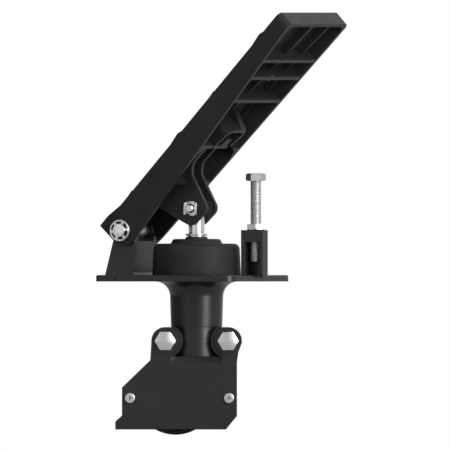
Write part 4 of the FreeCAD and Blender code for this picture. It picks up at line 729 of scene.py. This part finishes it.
@dataclass
class ReturnSprings:
    """The two coil springs in the neck."""

    shop: Workshop
    foot: float = -46.2
    top: float = -8.6
    travel: float = 14.79

    def coil(self, name: str, node: str, radius: float, wire: float, turns: float) -> None:
        """Wind one spring.

        Args:
            name: The piece's name.
            node: The node that it stands for.
            radius: Mean radius of the coil, in millimetres.
            wire: Thickness of the wire.
            turns: Number of turns.
        """
        work = bmesh.new()
        made = bmesh.ops.create_circle(work, cap_ends=True, segments=10, radius=wire / 2 * MM)
        bmesh.ops.rotate(work, verts=made["verts"], cent=(0, 0, 0), matrix=Matrix.Rotation(math.pi / 2, 3, "X"))
        bmesh.ops.translate(work, verts=made["verts"], vec=(radius * MM, 0, (self.foot + wire / 2) * MM))
        steps = int(turns * 36)
        rise = (self.top - self.foot - wire) * MM / steps
        bmesh.ops.spin(work, geom=work.verts[:] + work.edges[:] + work.faces[:], cent=(0, 0, 0), axis=(0, 0, 1),
                       dvec=(0, 0, rise), angle=math.tau * turns, steps=steps, use_merge=False, use_duplicate=False)
        bmesh.ops.recalc_face_normals(work, faces=work.faces)
        spring = self.shop.piece(name, work, standing(Direction.UPRIGHT, Vector()), Body.MOUNT,
                                 self.shop.palette.spring, "spring_steel", [node], 60.0)
        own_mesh(spring)

    def build(self) -> None:
        """Wind both springs."""
        self.coil("outer_spring_wound", "outer_spring", 12.2, 2.2, 5.0)
        self.coil("inner_spring_wound", "inner_spring", 8.5, 1.6, 7.0)


@dataclass
class HingeTrim:
    """The toothed push-on rings and the hinge pin whose ends they grip."""

    shop: Workshop
    back: float = -51.0
    height: float = 38.3
    pin: float = 5.0
    face: float = 27.21
    ring: float = 8.1
    thick: float = 1.2
    overhang: float = 29.9
    ground_end: float = 3.0
    lead: float = 7.0

    def clip(self, side: int) -> bmesh.types.BMesh:
        """Shape one push-on ring: a rolled rim round six sprung teeth.

        Args:
            side: 1 for the far end of the pin and -1 for the near end.

        Returns:
            The shape.
        """
        rim = spun(rounded([(6.7, 0), (self.ring, 0, 0.3), (self.ring, 1.15, 0.5), (6.7, 0.85, 0.3)], 4), 72)
        teeth = []
        for step in range(6):
            tooth = prism(rounded([(self.pin + 0.02, -0.95, 0.3), (6.8, -1.05), (6.8, 1.05),
                                   (self.pin + 0.02, 0.95, 0.3)], 3), 0.2, 0.75)
            turn = Matrix.Rotation(math.tau * step / 6 + math.radians(self.lead), 3, "Z")
            bmesh.ops.rotate(tooth, verts=tooth.verts, cent=(0, 0, 0), matrix=turn)
            teeth.append(tooth)
        whole = merged([rim, *teeth])
        if side < 0:
            bmesh.ops.rotate(whole, verts=whole.verts, cent=(0, 0, 0), matrix=Matrix.Rotation(math.pi, 3, "X"))
        bmesh.ops.translate(whole, verts=whole.verts, vec=(0, 0, side * self.face * MM))
        return whole

    def build(self) -> None:
        """Make the rings and the pin."""
        place = standing(Direction.HINGE, Vector((self.back * MM, 0, self.height * MM)))
        for side, label in ((-1, "near"), (1, "far")):
            self.shop.piece(f"push_clip_{label}_dressed", self.clip(side), place, Body.TREADLE,
                            self.shop.palette.zinc, "zinc", [f"push_clip_{label}"])
        end = self.overhang
        body = end - self.ground_end
        pin = spun(rounded([(0, -end), (self.pin, -end, 0.5), (self.pin, -body), (self.pin, body),
                            (self.pin, end, 0.5), (0, end)], 5, closed=False), 72, closed=False)
        whole = self.shop.piece("hinge_pin_dressed", pin, place, Body.TREADLE, self.shop.palette.ground,
                                "bright_steel", ["hinge_pin"])
        whole.data.materials.append(self.shop.palette.drawn)
        for face in whole.data.polygons:
            if abs(face.center.y) < body / 2 * MM:
                face.material_index = 1


@dataclass
class ClevisClip:
    """The square spring clip whose legs and straps snap round the near end of the clevis pin."""

    shop: Workshop
    height: float = 54.75
    near: float = -12.1
    side: float = 10.9
    thick: float = 1.2
    gap: float = 3.45
    grip: float = 4.3

    def build(self) -> None:
        """Make the clip: a ring between two legs, with straps above and a tab below."""
        half = self.side / 2
        ring = spun(rounded([(self.gap, 0.0), (self.grip, 0.0), (self.grip, 0.9, 0.2), (self.gap, 0.9, 0.2)], 3), 48)
        bars = [((-half, -0.85 * half), (-3.4, 0.82 * half), 0.0, 1.4),
                ((3.2, -0.85 * half), (half, 0.82 * half), 0.0, 1.4),
                ((-half, 0.68 * half), (-2.6, 0.86 * half), 0.0, 1.0),
                ((-2.1, 3.4), (3.6, 0.87 * half), 0.0, 1.1),
                ((-3.1, 0.84 * half), (2.9, half), 0.0, 0.6),
                ((-0.6, -half), (3.5, -3.5), 0.0, 0.8)]
        strips = []
        for (left, low), (right, high), foot, top in bars:
            outline = rounded([(left, low, 0.25), (right, low, 0.25), (right, high, 0.25), (left, high, 0.25)], 2)
            strips.append(softened(prism(outline, foot, top), 0.12))
        whole = merged([ring, *strips])
        bmesh.ops.rotate(whole, verts=whole.verts, cent=(0, 0, 0), matrix=Matrix.Rotation(math.pi, 3, "X"))
        bmesh.ops.translate(whole, verts=whole.verts, vec=(0, 0, (self.near + self.thick - 0.1) * MM))
        place = standing(Direction.HINGE, Vector((0, 0, self.height * MM)))
        self.shop.piece("clevis_clip_dressed", whole, place, Body.ROD, self.shop.palette.zinc, "zinc", ["clevis_clip"])


@dataclass
class HousingScrews:
    """The clamp bolts and the cover screws on the front of the sensor housing."""

    shop: Workshop
    front: float = 22.0
    bolt_side: float = 23.6
    bolt_up: float = -44.6
    bolt_flats: float = 13.7
    bolt_head: float = 5.3
    bolt_radius: float = 4.0
    bolt_length: float = 31.0
    screw_radius: float = 3.8
    screw_head: float = 2.6
    screw_left: tuple[float, float] = (-50.0, -87.4)
    screw_right: tuple[float, float] = (24.3, -87.4)

    def bolt(self, across: float) -> bmesh.types.BMesh:
        """Shape one clamp bolt.

        Args:
            across: Where it stands, right of the push rod.

        Returns:
            The shape.
        """
        head = hexagonal(self.bolt_flats, 0.0, self.bolt_head, 0.0)
        shank = threaded(self.bolt_radius, 1.25, -self.bolt_length, 1.6)
        whole = merged([head, shank])
        bmesh.ops.translate(whole, verts=whole.verts, vec=(across * MM, self.bolt_up * MM, self.front * MM))
        return whole

    def screw(self, spot: tuple[float, float]) -> bmesh.types.BMesh:
        """Shape one pan-head screw with a cross recess.

        Args:
            spot: Where it stands, square on to the housing.

        Returns:
            The shape.
        """
        radius, high = self.screw_radius, self.screw_head
        dome = spun(rounded([(0, 0), (radius, 0), (radius, high, 0.6), (0, high + 0.15)], 6, closed=False), 64, closed=False)
        bmesh.ops.recalc_face_normals(dome, faces=dome.faces)
        shank = threaded(2.0, 0.7, -14.0, 0.9)
        body = merged([dome, shank])
        bmesh.ops.translate(body, verts=body.verts, vec=(spot[0] * MM, spot[1] * MM, self.front * MM))
        return body

    def recess(self, spot: tuple[float, float]) -> bmesh.types.BMesh:
        """Shape the tapered cross that is cut into a screw's head.

        Args:
            spot: Where the screw stands.

        Returns:
            The shape of the tool.
        """
        arms = []
        for turn in (0.0, math.radians(90.0)):
            arm = bmesh.new()
            bmesh.ops.create_cube(arm, size=1.0)
            bmesh.ops.scale(arm, verts=arm.verts, vec=(4.4 * MM, 1.0 * MM, 3.4 * MM))
            foot = [vert for vert in arm.verts if vert.co.z < 0]
            bmesh.ops.scale(arm, verts=foot, vec=(0.35, 0.6, 1.0))
            bmesh.ops.rotate(arm, verts=arm.verts, cent=(0, 0, 0), matrix=Matrix.Rotation(turn, 3, "Z"))
            arms.append(arm)
        whole = merged(arms)
        bmesh.ops.translate(whole, verts=whole.verts, vec=(spot[0] * MM, spot[1] * MM, (self.front + self.screw_head) * MM))
        return whole

    def build(self) -> None:
        """Make the bolts and the screws, with painted shade on the walls of the screws' cross recesses."""
        place = standing(Direction.FACING, Vector())
        bolts = merged([self.bolt(-self.bolt_side), self.bolt(self.bolt_side)])
        self.shop.piece("clamp_bolts_dressed", bolts, place, Body.MOUNT, self.shop.palette.zinc, "zinc", ["clamp_bolts"])
        spots = (self.screw_left, self.screw_right)
        screws = self.shop.piece("cover_screws_dressed", merged([self.screw(spot) for spot in spots]), place, Body.MOUNT,
                                 self.shop.palette.zinc, "zinc", ["cover_screws"])
        # The cutting tool carries the dark spring-wire finish; the cut leaves it on the recess walls as painted shade
        # inside the cross.
        shade_tool_mesh = bpy.data.meshes.new("recess_shade_tool")
        shape = merged([self.recess(spot) for spot in spots])
        shape.transform(place)
        shape.to_mesh(shade_tool_mesh)
        shade_tool_mesh.materials.append(self.shop.palette.spring)
        shape.free()
        tool = bpy.data.objects.new("recess_shade_tool", shade_tool_mesh)
        bpy.context.scene.collection.objects.link(tool)
        cut = screws.modifiers.new("cross_recess_painted_shade", "BOOLEAN")
        cut.operation = "DIFFERENCE"
        cut.solver = "EXACT"
        cut.use_self = True
        # TRANSFER passes the tool's dark finish onto the cut faces: painted shade in the recess.
        cut.material_mode = "TRANSFER"
        cut.object = tool
        graph = bpy.context.evaluated_depsgraph_get()
        carved = bpy.data.meshes.new_from_object(screws.evaluated_get(graph))
        screws.modifiers.clear()
        screws.data = carved
        bpy.data.objects.remove(tool)


@dataclass
class CarriedNodes:
    """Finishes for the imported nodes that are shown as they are."""

    shop: Workshop
    nodes: dict[str, bpy.types.Object] = field(default_factory=dict)

    def build(self) -> None:
        """Give each node its finish."""
        palette = self.shop.palette
        finishes = {
            "floor_plate": palette.cast, "treadle": palette.tread, "hinge_pin": palette.ground,
            "hinge_bush_near": palette.bush, "hinge_bush_far": palette.bush, "push_clip_near": palette.zinc,
            "push_clip_far": palette.zinc, "stop_bolt": palette.zinc, "lock_nut": palette.zinc,
            "push_rod": palette.ground, "clevis_pin": palette.zinc, "clevis_clip": palette.zinc,
            "boot": palette.rubber, "boot_ring": palette.zinc, "guide_plug": palette.cast,
            "guide_bush_top": palette.bush, "guide_bush_bottom": palette.bush, "rod_keeper": palette.spring,
            "spring_seat": palette.zinc, "outer_spring": palette.spring, "inner_spring": palette.spring,
            "sensor_housing": palette.cast, "housing_gasket": palette.seal, "front_cover": palette.cast,
            "cover_screws": palette.zinc, "clamp_bolts": palette.zinc, "sensor_shaft": palette.ground,
            "shaft_bush_front": palette.bronze, "shaft_bush_back": palette.bronze, "drive_lever": palette.zinc,
            "drive_pin": palette.ground, "drive_fork": palette.bush, "sensor_cover": palette.plastic,
            "socket_pins": palette.bronze, "sensor_screws": palette.zinc, "circuit_board": palette.board,
            "magnet_carrier": palette.bush, "magnet": palette.spring,
        }
        for name, node in self.nodes.items():
            finish = finishes.get(name)
            if finish is None:
                LOG.warning("%s has no finish", name)
                continue
            for place in node.material_slots:
                place.material = finish
            LOG.info("%s: %s", name, finish.name)


@dataclass
class Studio:
    """The camera, the floor and a soft white room with darker cards in it."""

    span: float = 337.5
    centre_across: float = 21.3
    centre_up: float = 42.375
    floor_level: float = -121.0
    cards: tuple[tuple[float, float], ...] = (
        (-180.0, 1.0), (-165.0, 0.6), (-150.0, 0.3), (-130.0, 0.04), (-80.0, 0.06), (-62.0, 0.35), (-48.0, 0.75),
        (-30.0, 0.6), (-8.0, 0.48), (6.0, 0.5), (14.0, 0.8), (27.0, 1.3), (37.0, 7.5), (49.0, 7.5), (58.0, 2.0),
        (66.0, 0.5), (95.0, 0.65), (120.0, 0.55), (135.0, 0.45), (150.0, 0.65), (180.0, 1.0))
    overhead: float = 0.35
    brightest: float = 7.5

    def camera(self) -> None:
        """Set a flat-view camera at the photograph's angle."""
        data = bpy.data.cameras.new("view")
        data.type = "ORTHO"
        data.ortho_scale = self.span * MM
        data.clip_end = 10.0
        seen = bpy.data.objects.new("view", data)
        bpy.context.scene.collection.objects.link(seen)
        seen.location = facing(self.centre_across, self.centre_up, 1000.0)
        seen.rotation_euler = (math.radians(90.0), 0.0, TURN)
        bpy.context.scene.camera = seen

    def room(self) -> None:
        """Light the room: cards of different greys all round, one bright strip and a dim ceiling."""
        world = bpy.data.worlds.new("studio")
        bpy.context.scene.world = world
        world.use_nodes = True
        tree = world.node_tree
        tree.nodes.clear()
        place = tree.nodes.new("ShaderNodeTexCoord")
        parts = []
        for axis in (ACROSS, FRONT):
            dot = tree.nodes.new("ShaderNodeVectorMath")
            dot.operation = "DOT_PRODUCT"
            dot.inputs[1].default_value = axis
            tree.links.new(place.outputs["Generated"], dot.inputs[0])
            parts.append(dot)
        angle = tree.nodes.new("ShaderNodeMath")
        angle.operation = "ARCTAN2"
        tree.links.new(parts[0].outputs["Value"], angle.inputs[0])
        tree.links.new(parts[1].outputs["Value"], angle.inputs[1])
        share = tree.nodes.new("ShaderNodeMapRange")
        share.inputs["From Min"].default_value = -math.pi
        share.inputs["From Max"].default_value = math.pi
        tree.links.new(angle.outputs[0], share.inputs["Value"])
        ramp = tree.nodes.new("ShaderNodeValToRGB")
        ramp.color_ramp.interpolation = "LINEAR"
        stops = ramp.color_ramp.elements
        for index, (degrees, light) in enumerate(self.cards):
            spot = (degrees + 180.0) / 360.0
            stop = stops[index] if index < 2 else stops.new(spot)
            stop.position = spot
            level = light / self.brightest
            stop.color = (level, level, level, 1.0)
        tree.links.new(share.outputs[0], ramp.inputs[0])
        parted = tree.nodes.new("ShaderNodeSeparateXYZ")
        tree.links.new(place.outputs["Generated"], parted.inputs[0])
        steep = tree.nodes.new("ShaderNodeMath")
        steep.operation = "ABSOLUTE"
        tree.links.new(parted.outputs["Z"], steep.inputs[0])
        above = tree.nodes.new("ShaderNodeMapRange")
        above.inputs["From Min"].default_value = 0.5
        above.inputs["From Max"].default_value = 0.85
        tree.links.new(steep.outputs[0], above.inputs["Value"])
        whole = tree.nodes.new("ShaderNodeMix")
        whole.data_type = "RGBA"
        level = self.overhead / self.brightest
        whole.inputs[7].default_value = (level, level, level, 1.0)
        tree.links.new(above.outputs[0], whole.inputs[0])
        tree.links.new(ramp.outputs["Color"], whole.inputs[6])
        lit = tree.nodes.new("ShaderNodeBackground")
        lit.inputs["Strength"].default_value = self.brightest
        tree.links.new(whole.outputs[2], lit.inputs["Color"])
        plain = tree.nodes.new("ShaderNodeBackground")
        plain.inputs["Color"].default_value = (1.0, 1.0, 1.0, 1.0)
        path = tree.nodes.new("ShaderNodeLightPath")
        pick = tree.nodes.new("ShaderNodeMixShader")
        tree.links.new(path.outputs["Is Camera Ray"], pick.inputs[0])
        tree.links.new(lit.outputs[0], pick.inputs[1])
        tree.links.new(plain.outputs[0], pick.inputs[2])
        output = tree.nodes.new("ShaderNodeOutputWorld")
        tree.links.new(pick.outputs[0], output.inputs["Surface"])
        bpy.context.scene.view_settings.view_transform = "Standard"

    def lamp(self, name: str, turn: float, rise: float, far: float, size: tuple[float, float], power: float) -> None:
        """Hang one soft lamp.

        Args:
            name: The lamp's name.
            turn: Degrees right of the camera.
            rise: Degrees above the floor.
            far: Distance from the pedal, in metres.
            size: Width and height, in metres.
            power: Watts.
        """
        data = bpy.data.lights.new(name, "AREA")
        data.shape = "RECTANGLE"
        data.size, data.size_y = size
        data.energy = power
        lamp = bpy.data.objects.new(name, data)
        bpy.context.scene.collection.objects.link(lamp)
        flat, steep = math.radians(turn), math.radians(rise)
        out = (FRONT * math.cos(flat) + ACROSS * math.sin(flat)) * math.cos(steep) + UP * math.sin(steep)
        target = facing(self.centre_across, self.centre_up)
        lamp.location = target + out * far
        lamp.rotation_euler = out.to_track_quat("Z", "Y").to_euler()

    def floor(self) -> None:
        """Lay a plain pale floor under the pedal."""
        work = bmesh.new()
        bmesh.ops.create_grid(work, x_segments=1, y_segments=1, size=1.5)
        bmesh.ops.translate(work, verts=work.verts, vec=(0, 0, self.floor_level * MM))
        mesh = bpy.data.meshes.new("studio_floor")
        work.to_mesh(mesh)
        work.free()
        pale = bpy.data.materials.new("pale_floor")
        pale.use_nodes = True
        surface = pale.node_tree.nodes["Principled BSDF"]
        surface.inputs["Base Color"].default_value = (0.6, 0.6, 0.6, 1.0)
        surface.inputs["Roughness"].default_value = 0.9
        mesh.materials.append(pale)
        laid = bpy.data.objects.new("studio_floor", mesh)
        bpy.context.scene.collection.objects.link(laid)

    def build(self) -> None:
        """Set up the camera, the light and the floor."""
        self.camera()
        self.room()
        self.lamp("side_light", 70.0, 35.0, 1.2, (0.8, 0.8), 1.4)
        self.lamp("top_light", -20.0, 70.0, 1.2, (1.0, 1.0), 1.3)
        self.floor()


def main() -> None:
    """Build the studio and dress the pedal."""
    logging.basicConfig(level=logging.INFO, format="%(name)s %(message)s")
    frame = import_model()
    Studio().build()
    shop = Workshop(Palette.mixed())
    CarriedNodes(shop, frame["nodes"]).build()
    for assembly in (StopScrew(shop), Boot(shop), ReturnSprings(shop), HingeTrim(shop), ClevisClip(shop), HousingScrews(shop)):
        assembly.build()


if __name__ == "__main__":
    main()
